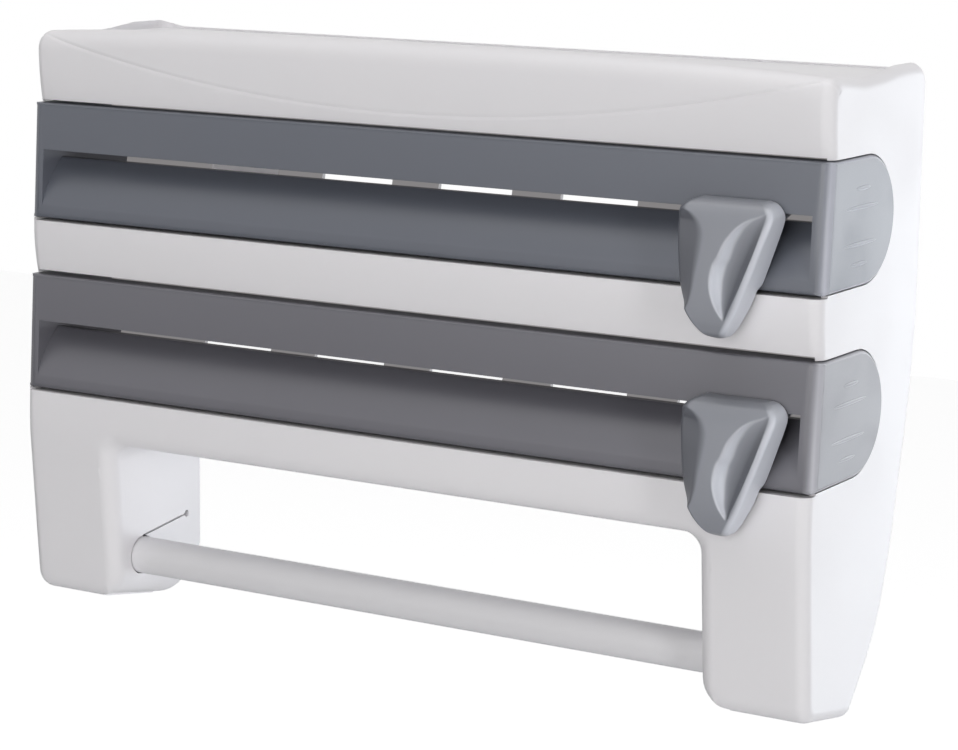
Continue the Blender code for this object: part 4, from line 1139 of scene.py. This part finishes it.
    def cut_gap(self, shell: bpy.types.Object) -> None:
        """Cuts the space between the legs, flared at the front so that its front edge comes out rounded.

        Args:
            shell: the housing.
        """
        flare = self.gap_flare
        stages = [(-flare, flare * 3)]
        stages += [(flare * (1 - cos), flare * (1 - sin)) for cos, sin in turns(QUARTER, self.arc)]
        lower_foot = LEVELS.foot_of(Tier.LOWER)
        toe_y = LEVELS.leg(LEVELS.toe)
        rings = []
        for back, extra in stages:
            rings.append([(x, LEVELS.leg(max(LEVELS.toe, min(lower_foot, z))) + back, z)
                          for x, z in self.gap_outline(extra, toe_y)])
        rings.append([(x, OVERRUN, z) for x, z in self.gap_outline(0.0, OVERRUN)])
        carve(shell, loft(rings))

    def hollow_leg(self, shell: bpy.types.Object, side: Side) -> None:
        """Hollows one leg, open to the rear and into the low chamber, and trims its inner wall.

        Args:
            shell: the housing.
            side: which leg.
        """
        lv = LEVELS
        inner = side.value * (lv.gap_half + self.wall)
        top = lv.gap_top + self.wall * 2
        toe_y = lv.leg(lv.toe) + self.toe_edge
        floor = lv.foot(-lv.depth) + self.wall * 2
        outline = [Vector((lv.leg(z) + self.wall, z)) for z in spread(top, lv.toe + self.toe_edge, self.fine)]
        outline += [Vector((y, lv.foot(y) + self.wall)) for y in (toe_y, OVERRUN)]
        outline.append(Vector((OVERRUN, top)))
        low, high = sorted((inner, side.value * (self.half - self.wall)))
        hollow = prism(outline, Axis.X, low, high)

        def on_corner(first: Vector, second: Vector) -> float:
            """1 for an edge of the inner wall near the floor, 0 for the others."""
            on_wall = abs(first.x - inner) < MERGE and abs(second.x - inner) < MERGE
            return float(on_wall and max(first.z, second.z) < floor)

        round_edges(hollow, self.foot_corner - self.wall, self.arc, on_corner)
        carve(shell, hollow)
        low, high = sorted((side.value * (lv.gap_half - OVERRUN), side.value * (self.half - self.wall * 2)))
        rear = lv.leg(lv.gap_top) + self.inner_depth
        carve(shell, block((low, rear, lv.leg_foot + self.wall * 2), (high, OVERRUN, lv.gap_top - self.wall)))

    def add_seat(self, shell: bpy.types.Object, side: Side) -> None:
        """Adds the bar's blind socket in one leg, and the slit and relief hole that let the wall give.

        Args:
            shell: the housing.
            side: which leg.
        """
        lv = LEVELS
        bar = (lv.bar_y, lv.bar_z)
        depth = lv.gap_half + self.seat_depth
        mouth, wall, bottom, boss = (side.value * x for x in (
            lv.gap_half - OVERRUN, lv.gap_half + self.wall / 2, depth, depth + self.seat_wall))
        carve(shell, rod(self.seat_bore + self.seat_wall, (wall, *bar), (boss, *bar)), join=True)
        carve(shell, rod(self.seat_bore, (mouth, *bar), (bottom, *bar)))
        low, high = sorted((mouth, side.value * (lv.gap_half + self.wall * 2)))
        first = Vector((lv.bar_y, lv.bar_z + self.seat_bore - self.slit_width / 2))
        last = first + Vector((self.slit_length, self.slit_rise))
        up = Vector((0, self.slit_width))
        carve(shell, prism([first, last, last + up, first + up], Axis.X, low, high))
        hole = last + up / 2
        carve(shell, rod(self.slit_hole, (low, *hole), (high, *hole), steps=24))

    def seen_edge(self, middle: Vector) -> float:
        """Share of rounding: all of it on the bands' front edges, the drawers' notches and the shelf's rim.

        Args:
            middle: middle of the edge.
        Returns:
            The share.
        """
        lv = LEVELS
        levels = [tier.top + tier.slack for tier in Tier]
        levels += [lv.foot_of(tier) - self.foot_gap for tier in Tier]
        at_level = min(abs(middle.z - level) for level in levels) < self.soft_edge
        on_band = at_level and middle.y < lv.face(middle.z) + self.edge
        on_notch = abs(middle.x) > self.half - self.soft_edge and -lv.depth < middle.y < -lv.rear_sweep / 2
        return float(on_band or on_notch or middle.z > lv.shelf - self.soft_edge)

    def build(self, finish: bpy.types.Material) -> None:
        """Makes the shell and hands it over in place of its CAD node.

        Args:
            finish: its finish.
        """
        shell = self.make_block()
        for cut in (self.cut_bays, self.cut_chambers, self.cut_shelf, self.cut_gap):
            cut(shell)
        for side in Side:
            self.hollow_leg(shell, side)
            self.add_seat(shell, side)
        soften(shell, self.soft_edge, self.seen_edge, kept_below=LEVELS.foot_of(Tier.LOWER) - self.wall)
        smooth(shell)
        hand_over(shell, finish, "housing", "white_plastic", "housing")


def drawer_outline(tier: Tier, extra: float, forward: float, steps: int = 48) -> list[Vector]:
    """D-shaped end of a drawer (y, z): a leaning face, flat top and bottom, and a half round rear.

    Args:
        tier: the drawer.
        extra: how much larger it is at the top, the foot and the rear.
        forward: how far the face is moved to the front.
        steps: pieces in the round rear.
    Returns:
        The outline's points.
    """
    foot = LEVELS.foot_of(tier)
    half = LEVELS.drawer_height / 2
    centre = Vector((LEVELS.face(tier.top) + Drawer.straight, tier.top - half))
    points = [Vector((LEVELS.face(tier.top) - forward, tier.top + extra)),
              Vector((LEVELS.face(foot) - forward, foot - extra))]
    return points + arc(centre, half + extra, -QUARTER, QUARTER, steps)


@dataclass
class Drawer:
    """Pull-out roll drawer: cheeks with grip ribs, lip, film slot, concave ramp, trough and rear windows."""

    tier: Tier
    finish: bpy.types.Material
    inside: bpy.types.Material
    half: float = 0.1950
    straight: float = 0.0360
    front_edge: float = 0.0054
    cheek_edge: float = 0.0016
    face_edge: float = 0.0012
    wall: float = 0.0022
    cheek: float = 0.0030
    lip_height: float = 0.0205
    lip_wall: float = 0.0024
    recess_end: float = 0.0070
    ramp_depth: float = 0.0132
    ramp_drop: float = 0.0046
    ramp_wall: float = 0.0022
    ramp_foot: float = 0.0050
    mouth_start: float = 0.0100
    mouth_end: float = 0.0480
    window_height: float = 0.0170
    window_drop: float = 0.0280
    window_shift: float = 0.0012
    window_behind: float = 0.0600
    rib_width: float = 0.0017
    rib_proud: float = 0.0003
    rib_centre: float = 0.0305
    rear_start: float = 0.0400
    rear_facing: float = 0.2
    side_facing: float = 0.9
    steps: int = 20
    edge_steps: int = 8
    soft_edge: float = 0.0011
    fine_share: float = 0.35

    RIBS = ((0.24, 0.13), (0.385, 0.30), (0.665, 0.30), (0.82, 0.15))

    def at(self, behind: float, drop: float) -> Vector:
        """Point (y, z) so far behind the leaning face and so far below the drawer's top."""
        z = self.tier.top - drop
        return Vector((LEVELS.face(z) + behind, z))

    def ramp_line(self) -> list[Vector]:
        """Concave ramp under the lip, from its top edge to where it runs out flush with the face.

        Returns:
            The line's points.
        """
        start_drop = self.lip_height + self.ramp_drop
        end_drop = LEVELS.drawer_height - self.ramp_foot
        start = self.at(self.ramp_depth, start_drop)
        bend = self.at(self.ramp_depth / 8, (start_drop + end_drop) / 2)
        end = self.at(0.0, end_drop)
        shares = spread(0.0, 1.0, self.steps)
        return [start * (1 - t) ** 2 + bend * 2 * t * (1 - t) + end * t * t for t in shares]

    def trough(self) -> list[Vector]:
        """Inside of the roll trough (y, z), with a pocket behind the lip.

        Returns:
            The outline's points.
        """
        top = self.tier.top
        pocket = LEVELS.face(top) + self.ramp_depth + self.ramp_wall
        start_drop = self.lip_height + self.ramp_drop
        half = LEVELS.drawer_height / 2
        reach = half - self.wall
        points = [self.at(self.mouth_start, -OVERRUN), self.at(self.mouth_start, self.wall),
                  self.at(self.lip_wall, self.wall), self.at(self.lip_wall, start_drop),
                  Vector((pocket, top - start_drop)),
                  Vector((pocket, top - LEVELS.drawer_height + self.wall))]
        centre = Vector((LEVELS.face(top) + self.straight, top - half))
        last = math.acos((LEVELS.face(top) + self.mouth_end - centre.x) / reach)
        points += arc(centre, reach, -QUARTER, last, self.steps * 2)
        points.append(Vector((points[-1].x, top + OVERRUN)))
        return points

    def recess(self) -> list[Vector]:
        """Recess under the lip (y, z): in under the lip and down the ramp, run on past it at both ends.

        Returns:
            The outline's points.
        """
        line = self.ramp_line()
        entry = line[0] + (line[0] - line[1]) / 2
        leave = line[-1] + (line[-1] - line[-2]) / 2
        inner = self.ramp_depth + self.ramp_wall
        return [self.at(-OVERRUN, self.lip_height), self.at(inner, self.lip_height),
                self.at(inner, self.lip_height + self.ramp_drop / 4), entry, *line, leave,
                self.at(-OVERRUN, LEVELS.drawer_height)]

    def undercut(self) -> list[Vector]:
        """Hollow behind the ramp (y, z), open downwards, which keeps the ramp's wall even.

        Returns:
            The outline's points.
        """
        top = self.tier.top
        foot = LEVELS.drawer_height - self.ramp_foot
        back = LEVELS.face(top) + self.ramp_depth
        line = [p for p in moved(self.ramp_line(), self.ramp_wall, closed=False)
                if p.x < back - self.ramp_wall / 2 and p.y > top - foot]
        front = self.at(self.ramp_wall, foot)
        low = top - LEVELS.drawer_height - OVERRUN
        return [Vector((back, low)), Vector((back, line[0].y)), *line, front, Vector((front.x, low))]

    def make_body(self) -> bpy.types.Object:
        """D-ended body with its outer edges rounded.

        Returns:
            The body.
        """
        outline = drawer_outline(self.tier, 0.0, 0.0)
        body = prism(outline, Axis.X, -self.half, self.half, self.tier.label + "_tray_body")
        face_end = LEVELS.face(self.tier.top) + self.straight / 2

        def share(first: Vector, second: Vector) -> float:
            """Share of the front edge's rounding for an edge of the cheeks or of the face.

            Args:
                first: one end of the edge.
                second: its other end.
            Returns:
                The share.
            """
            in_face = max(first.y, second.y) < face_end
            if first.x * second.x > 0:
                width = self.front_edge if in_face else self.cheek_edge
            else:
                width = self.face_edge if in_face else 0.0
            return width / self.front_edge

        round_edges(body, self.front_edge, self.edge_steps, share)
        return body

    def seen_edge(self, middle: Vector) -> float:
        """Share of rounding: all of it on the lip's lower edge and the recess's ends, less elsewhere.

        Args:
            middle: middle of the edge.
        Returns:
            The share.
        """
        behind = middle.y - LEVELS.face(middle.z)
        drop = self.tier.top - middle.z
        if behind > self.ramp_depth or drop < MERGE:
            return 0.0
        on_face = behind < self.soft_edge
        on_lip = abs(drop - self.lip_height) < NEAR
        on_end = abs(abs(middle.x) - self.half + self.recess_end) < NEAR
        return 1.0 if on_face and (on_lip or on_end) else self.fine_share

    def paint_rear_wall_glow(self, tray: bpy.types.Object) -> None:
        """Gives the thin rear wall inside the trough its own finish, with a painted glow that lights it where
        the lamps leave it dark.

        Args:
            tray: the drawer.
        """
        tray.data.materials.append(self.inside)
        reach = self.half - self.recess_end - self.wall
        for face in tray.data.polygons:
            behind = face.center.y - LEVELS.face(face.center.z)
            seen = face.normal.y < -self.rear_facing or abs(face.normal.x) > self.side_facing
            if seen and behind > self.rear_start and abs(face.center.x) < reach:
                face.material_index = 1

    def cut_windows(self, tray: bpy.types.Object) -> None:
        """Cuts the row of rear windows, laid by its tree.

        Args:
            tray: the drawer.
        """
        windows = points_object("windows", [Vector((0, 0, 0))], [1.0])
        grow(windows, window_row_tree(self.finish), {"Depth": OVERRUN * 2, "Height": self.window_height})
        rear = LEVELS.face(self.tier.top) + self.window_behind
        place = (self.window_shift, rear, self.tier.top - self.window_drop)
        windows.data.transform(Matrix.Translation(place))
        carve(tray, windows)

    def add_ribs(self) -> bpy.types.Object:
        """Grip ribs on both cheeks, laid by their tree.

        Returns:
            The ribs.
        """
        places, lengths = [], []
        for side in Side:
            for drop, length in self.RIBS:
                spot = self.at(self.rib_centre, LEVELS.drawer_height * drop)
                places.append(Vector((side.value * self.half, *spot)))
                lengths.append(LEVELS.drawer_height * length)
        ribs = points_object(self.tier.label + "_grip_ribs", places, lengths)
        grow(ribs, grip_rib_tree(self.finish), {"Width": self.rib_width, "Proud": self.rib_proud})
        return ribs

    def build(self) -> None:
        """Makes the drawer and hands it over in place of its tray's CAD node."""
        name = self.tier.label
        tray = self.make_body()
        reach = self.half - self.recess_end
        inner = self.half - self.cheek
        for outline, half in ((self.trough(), reach), (self.recess(), reach), (self.undercut(), inner)):
            carve(tray, prism(outline, Axis.X, -half, half))
        self.cut_windows(tray)
        soften(tray, self.soft_edge, self.seen_edge)
        smooth(tray)
        hand_over(tray, self.finish, name + "_drawer", "grey_plastic", name + "_tray")
        self.paint_rear_wall_glow(tray)
        ribs = self.add_ribs()
        smooth(ribs)
        hand_over(ribs, self.finish, name + "_drawer", "grey_plastic")


@dataclass
class CutterKnob:
    """Fin-shaped knob of a cutter: flank, ridge, thumb scoop with its bright rim, and the neck behind it."""

    tier: Tier
    finish: bpy.types.Material
    width: float = 0.0422
    height: float = 0.0536
    depth: float = 0.01598
    drop: float = 0.0160
    gap: float = 0.0006
    tail_gap: float = 0.0030
    edge: float = 0.0025
    scoop_depth: float = 0.0038
    flank_fall: float = 0.40
    ridge_blunt: float = 0.15
    flank_top: float = 0.02
    flank_end: float = 1.12
    flank_run: float = 0.15
    neck_width: float = 0.0300
    neck_thick: float = 0.0022
    neck_drop: float = 0.02305
    neck_short: float = 0.0002
    crease_degrees: float = 50.0
    rows: int = 140
    columns: int = 110

    LEFT = ((0.0, 0.175), (0.028, 0.10), (0.078, 0.031), (0.139, 0.002), (0.227, 0.0), (0.287, 0.007),
            (0.447, 0.030), (0.63, 0.070), (0.754, 0.125), (0.871, 0.195), (0.945, 0.298), (0.983, 0.395),
            (1.0, 0.465))
    RIGHT = ((0.0, 0.846), (0.013, 0.905), (0.046, 0.96), (0.092, 0.995), (0.129, 1.0), (0.196, 0.981),
             (0.36, 0.915), (0.505, 0.855), (0.678, 0.778), (0.771, 0.732), (0.843, 0.685), (0.93, 0.622),
             (0.987, 0.560), (1.0, 0.52))
    RIDGE = ((0.0, 0.18), (0.074, 0.114), (0.104, 0.187), (0.157, 0.263), (0.235, 0.308), (0.307, 0.31),
             (0.418, 0.296), (0.529, 0.278), (0.641, 0.264), (0.732, 0.240), (0.795, 0.22), (1.0, 0.43))
    DEPTH = ((0.0, 0.50), (0.04, 0.66), (0.10, 0.78), (0.20, 0.88), (0.35, 0.95), (0.60, 1.0), (0.85, 0.98),
             (0.94, 0.88), (1.0, 0.62))
    SCOOP_LEFT = ((0.067, 0.94), (0.094, 0.867), (0.124, 0.768), (0.172, 0.678), (0.227, 0.618),
                  (0.296, 0.559), (0.401, 0.507), (0.464, 0.465), (0.597, 0.450), (0.732, 0.505),
                  (0.84, 0.605))
    SCOOP_RIGHT = ((0.067, 0.95), (0.194, 0.921), (0.333, 0.872), (0.497, 0.800), (0.636, 0.732),
                   (0.775, 0.655), (0.84, 0.625))
    SCOOP_DOWN = ((0.067, 0.0), (0.12, 0.12), (0.20, 0.36), (0.30, 0.62), (0.45, 0.92), (0.60, 1.0),
                  (0.70, 0.86), (0.78, 0.46), (0.84, 0.0))
    SCOOP_ACROSS = ((0.0, 0.0), (0.05, 0.08), (0.15, 0.55), (0.26, 0.93), (0.36, 1.0), (0.56, 0.95),
                    (0.76, 0.74), (0.91, 0.34), (1.0, 0.0))

    def blunt(self, value: float) -> float:
        """Rising value that levels off at 1 with a rounded corner.

        Args:
            value: the value.
        Returns:
            The levelled value.
        """
        width = self.ridge_blunt
        if value < 1 - width:
            return value
        if value > 1 + width:
            return 1.0
        return value - (value - 1 + width) ** 2 / (4 * width)

    def fillet(self, distance: float) -> float:
        """Depth lost to the rounded front edge at a distance from it."""
        left = self.edge - min(self.edge, max(0.0, distance))
        return self.edge - math.sqrt(max(0.0, self.edge ** 2 - left ** 2))

    def scoop(self, across: float, down: float) -> float:
        """Depth of the thumb scoop at shares across the knob's width and down its height.

        Args:
            across: share of the width.
            down: share of the height.
        Returns:
            The depth there.
        """
        left = along(self.SCOOP_LEFT, down)
        right = along(self.SCOOP_RIGHT, down)
        share = (across - left) / max(MERGE, right - left)
        if not 0 < share < 1:
            return 0.0
        return self.scoop_depth * along(self.SCOOP_DOWN, down) * along(self.SCOOP_ACROSS, share)

    def front(self, across: float, down: float) -> float:
        """Depth of the knob before the face line at shares across its width and down its height.

        Args:
            across: share of the width.
            down: share of the height.
        Returns:
            The depth there.
        """
        left = along(self.LEFT, down)
        right = along(self.RIGHT, down)
        fade = ease((down - self.flank_top) / self.flank_run) * ease((self.flank_end - down) / self.flank_run)
        slope = self.blunt((across - left) / max(MERGE, along(self.RIDGE, down) - left))
        depth = self.depth * along(self.DEPTH, down) * (1 - fade * self.flank_fall * (1 - slope))
        side = min(across - left, right - across) * self.width
        ends = min(down, 1 - down) * self.height
        return max(self.edge, depth - self.scoop(across, down) - self.fillet(side) - self.fillet(ends))

    def spaced(self, count: int) -> list[float]:
        """Shares from 0 to 1 that lie closer together at both ends."""
        return [(1 - math.cos(angle)) / 2 for angle in spread(0.0, math.pi, count)]

    def make_fin(self) -> bpy.types.Object:
        """Fin lofted down its height, with its rows and columns closer together at the edges.

        Returns:
            The fin.
        """
        rings = []
        for down in self.spaced(self.rows):
            drop = self.drop + self.height * down
            z = self.tier.top - drop
            low = along(self.LEFT, down)
            high = along(self.RIGHT, down)
            tail = self.tail_gap * ease((drop - LEVELS.drawer_height + self.tail_gap) / self.tail_gap)
            back = LEVELS.face(z) - self.gap
            shares = [low + (high - low) * share for share in self.spaced(self.columns)]
            places = [(self.tier.cutter_x + self.width * (across - 0.5), across) for across in shares]
            ring = [(x, back - self.front(across, down), z) for x, across in places]
            rings.append(ring + [(x, back - tail, z) for x, _ in reversed(places)])
        return loft(rings, self.tier.label + "_knob_fin")

    def build(self) -> None:
        """Makes the knob with its neck and hands it over in place of its CAD node."""
        name = self.tier.label + "_cutter"
        fin = self.make_fin()
        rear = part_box(name + "_knob")[1].y - self.neck_short
        top = self.tier.top - self.neck_drop
        front = LEVELS.face(top) - self.depth / 3
        middle, half = self.tier.cutter_x, self.neck_width / 2
        neck = block((middle - half, front, top - self.neck_thick), (middle + half, rear, top))
        carve(fin, neck, join=True)
        smooth(fin, self.crease_degrees)
        hand_over(fin, self.finish, name, "grey_plastic", name + "_knob")


@dataclass
class TowelBar:
    """White tube that turns in the legs' seats."""

    radius: float = 0.0083
    bore: float = 0.0069
    edge: float = 0.0004
    steps: int = 96

    def build(self, finish: bpy.types.Material) -> None:
        """Makes the tube by turning its wall's profile, and hands it over in place of its CAD node.

        Args:
            finish: its finish.
        """
        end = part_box("bar_tube")[1].x
        rounding = self.radius - self.edge
        profile = [(self.radius, end - self.edge), (rounding, end), (self.bore, end), (self.bore, -end),
                   (rounding, -end), (self.radius, self.edge - end)]
        turn = turns(QUARTER * 4, self.steps)[:-1]
        rings = [[(x, LEVELS.bar_y + radius * cos, LEVELS.bar_z + radius * sin) for cos, sin in turn]
                 for radius, x in profile]
        tube = loft(rings, "towel_tube", closed=True)
        smooth(tube)
        hand_over(tube, finish, "towel_bar", "white_plastic", "bar_tube")


@dataclass
class SmallPieces:
    """Pieces whose CAD shape is right: they keep it, and get their finish."""

    def dress(self, finish: bpy.types.Material, *nodes: str) -> None:
        """Gives CAD nodes a finish.

        Args:
            finish: the material.
            nodes: the nodes' names.
        """
        for node in nodes:
            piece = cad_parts[node]
            piece.data.materials.clear()
            piece.data.materials.append(finish)
            log.info("%s keeps its CAD shape", node)

    def build(self, finishes: dict[str, bpy.types.Material]) -> None:
        """Dresses the frame, screws, rails, shoes, blades and plugs.

        Args:
            finishes: the finishes by name.
        """
        self.dress(finishes["white_frame"], "back_frame")
        self.dress(finishes["white_bar"], "bar_plug_left", "bar_plug_right")
        self.dress(finishes["screw_steel"], *(f"frame_screw_{k}" for k in range(1, 7)))
        for tier in Tier:
            name = tier.label
            self.dress(finishes[name + "_grey"], name + "_rail")
            self.dress(finishes["dark_shoe"], name + "_cutter_shoe")
            self.dress(finishes["blade_steel"], name + "_cutter_blade")
            self.dress(finishes["screw_steel"], name + "_cutter_screw")


# Studio


@dataclass(frozen=True)
class SoftBox:
    """Rectangular area lamp that points at the object.

    Attributes:
        name: the lamp's name.
        place: where it stands.
        size: its width and height.
        power: its power in watts.
        colour: its colour, linear.
        aim: what it points at.
    """

    name: str
    place: Triple
    size: Pair
    power: float
    colour: Triple = WHITE
    aim: Triple = (0.0, -0.05, -0.11)

    def build(self) -> None:
        """Makes the lamp."""
        lamp = bpy.data.lights.new(self.name, "AREA")
        lamp.energy = self.power
        lamp.shape = "RECTANGLE"
        lamp.size, lamp.size_y = self.size
        lamp.color = self.colour
        holder = bpy.data.objects.new(self.name, lamp)
        holder.location = self.place
        holder.rotation_mode = "QUATERNION"
        holder.rotation_quaternion = (Vector(self.aim) - holder.location).to_track_quat("-Z", "Y")
        bpy.context.scene.collection.objects.link(holder)


@dataclass
class Studio:
    """Camera, pale floor, white surround and soft lamps."""

    floor_z: float = -1.30
    floor_half: float = 6.0
    floor_glow: float = 0.90
    camera_place: Triple = (0.647046, -1.099035, 0.107453)
    pitch: float = math.radians(-10.608)
    yaw: float = math.radians(31.131)
    roll: float = math.radians(-0.807)
    ambient: float = 0.0
    view_end: float = 50.0

    LAMPS = (
        SoftBox("front", (0.3, -2.4, 0.2), (1.6, 1.6), 28.0),
        SoftBox("top", (0.0, 0.1, 2.2), (1.6, 1.6), 27.0),
        SoftBox("top_front", (-0.2, -1.2, 1.9), (1.6, 1.6), 9.0),
        SoftBox("right", (2.2, 0.4, -0.1), (1.2, 1.4), 7.0),
        SoftBox("strip_right", (2.0, -1.0, 0.0), (0.35, 1.6), 13.0),
        SoftBox("sheen_right_rear", (1.25, 2.0, -0.4), (1.7, 1.7), 29.0, (0.91, 0.955, 1.0)),
    )

    def add_camera(self) -> None:
        """Sets the camera fitted to the photograph."""
        turn = (Matrix.Rotation(self.yaw, 3, "Z") @ Matrix.Rotation(self.pitch, 3, "X")
                @ Matrix.Rotation(self.roll, 3, "Y"))
        right, forward, up = turn.col
        look = Matrix((right, up, -forward)).transposed()
        lens = bpy.data.cameras.new("camera")
        lens.lens = LENS_MM
        lens.sensor_width = SENSOR_MM
        lens.clip_end = self.view_end
        camera = bpy.data.objects.new("camera", lens)
        camera.matrix_world = Matrix.Translation(self.camera_place) @ look.to_4x4()
        bpy.context.scene.collection.objects.link(camera)
        bpy.context.scene.camera = camera

    def add_surround(self) -> None:
        """White world for the camera and for glossy and clear rays, and its own level for all others."""
        world = bpy.data.worlds.new("surround")
        world.use_nodes = True
        bpy.context.scene.world = world
        tree = world.node_tree
        plain = tree.nodes["Background"]
        feed(plain, {"Color": (*WHITE, 1.0), "Strength": self.ambient})
        white = add_node(tree, "ShaderNodeBackground", {"Color": (*WHITE, 1.0), "Strength": 1.0})
        path = add_node(tree, "ShaderNodeLightPath")
        glossy = maths(tree, "MAXIMUM", path["Is Camera Ray"], path["Is Glossy Ray"])
        seen = maths(tree, "MAXIMUM", glossy, path["Is Transmission Ray"])
        both = {"Fac": seen, 1: plain.outputs["Background"], 2: white["Background"]}
        mix = add_node(tree, "ShaderNodeMixShader", both)
        feed(tree.nodes["World Output"], {"Surface": mix["Shader"]})

    def add_floor(self) -> None:
        """Pale floor well below the dispenser, which hangs on a wall in use."""
        half = self.floor_half
        floor = block((-half, -half, self.floor_z - OVERRUN), (half, half, self.floor_z), "floor")
        material, shader = new_material("pale_floor")
        path = add_node(material.node_tree, "ShaderNodeLightPath")
        glow = maths(material.node_tree, "MULTIPLY", path["Is Camera Ray"], self.floor_glow)
        feed(shader, {"Base Color": (0.86, 0.86, 0.87, 1.0), "Roughness": 0.9,
                      "Emission Color": (*WHITE, 1.0), "Emission Strength": glow})
        floor.data.materials.append(material)

    def build(self) -> None:
        """Sets the camera, the surround, the floor and the lamps."""
        self.add_camera()
        self.add_surround()
        self.add_floor()
        for lamp in self.LAMPS:
            lamp.build()


def main() -> None:
    """Builds the sub-assemblies in order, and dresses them."""
    logging.basicConfig(level=logging.INFO, format="%(message)s")
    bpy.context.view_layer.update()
    bpy.context.scene.view_settings.view_transform = "Standard"
    moulded_skin_group()
    handling_group()
    finishes = {finish.name: finish.build() for finish in FINISHES}
    Studio().build()
    Housing().build(finishes["white_shell"])
    for tier in Tier:
        Drawer(tier, finishes[tier.label + "_grey"], finishes["trough_grey"]).build()
        CutterKnob(tier, finishes["knob_grey"]).build()
    TowelBar().build(finishes["white_bar"])
    SmallPieces().build(finishes)


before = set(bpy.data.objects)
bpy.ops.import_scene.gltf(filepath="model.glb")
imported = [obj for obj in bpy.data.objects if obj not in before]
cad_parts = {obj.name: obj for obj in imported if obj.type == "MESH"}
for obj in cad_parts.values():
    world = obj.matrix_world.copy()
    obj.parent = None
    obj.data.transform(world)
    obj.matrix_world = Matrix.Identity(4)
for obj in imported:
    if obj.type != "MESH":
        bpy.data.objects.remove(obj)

if __name__ == "__main__":
    main()
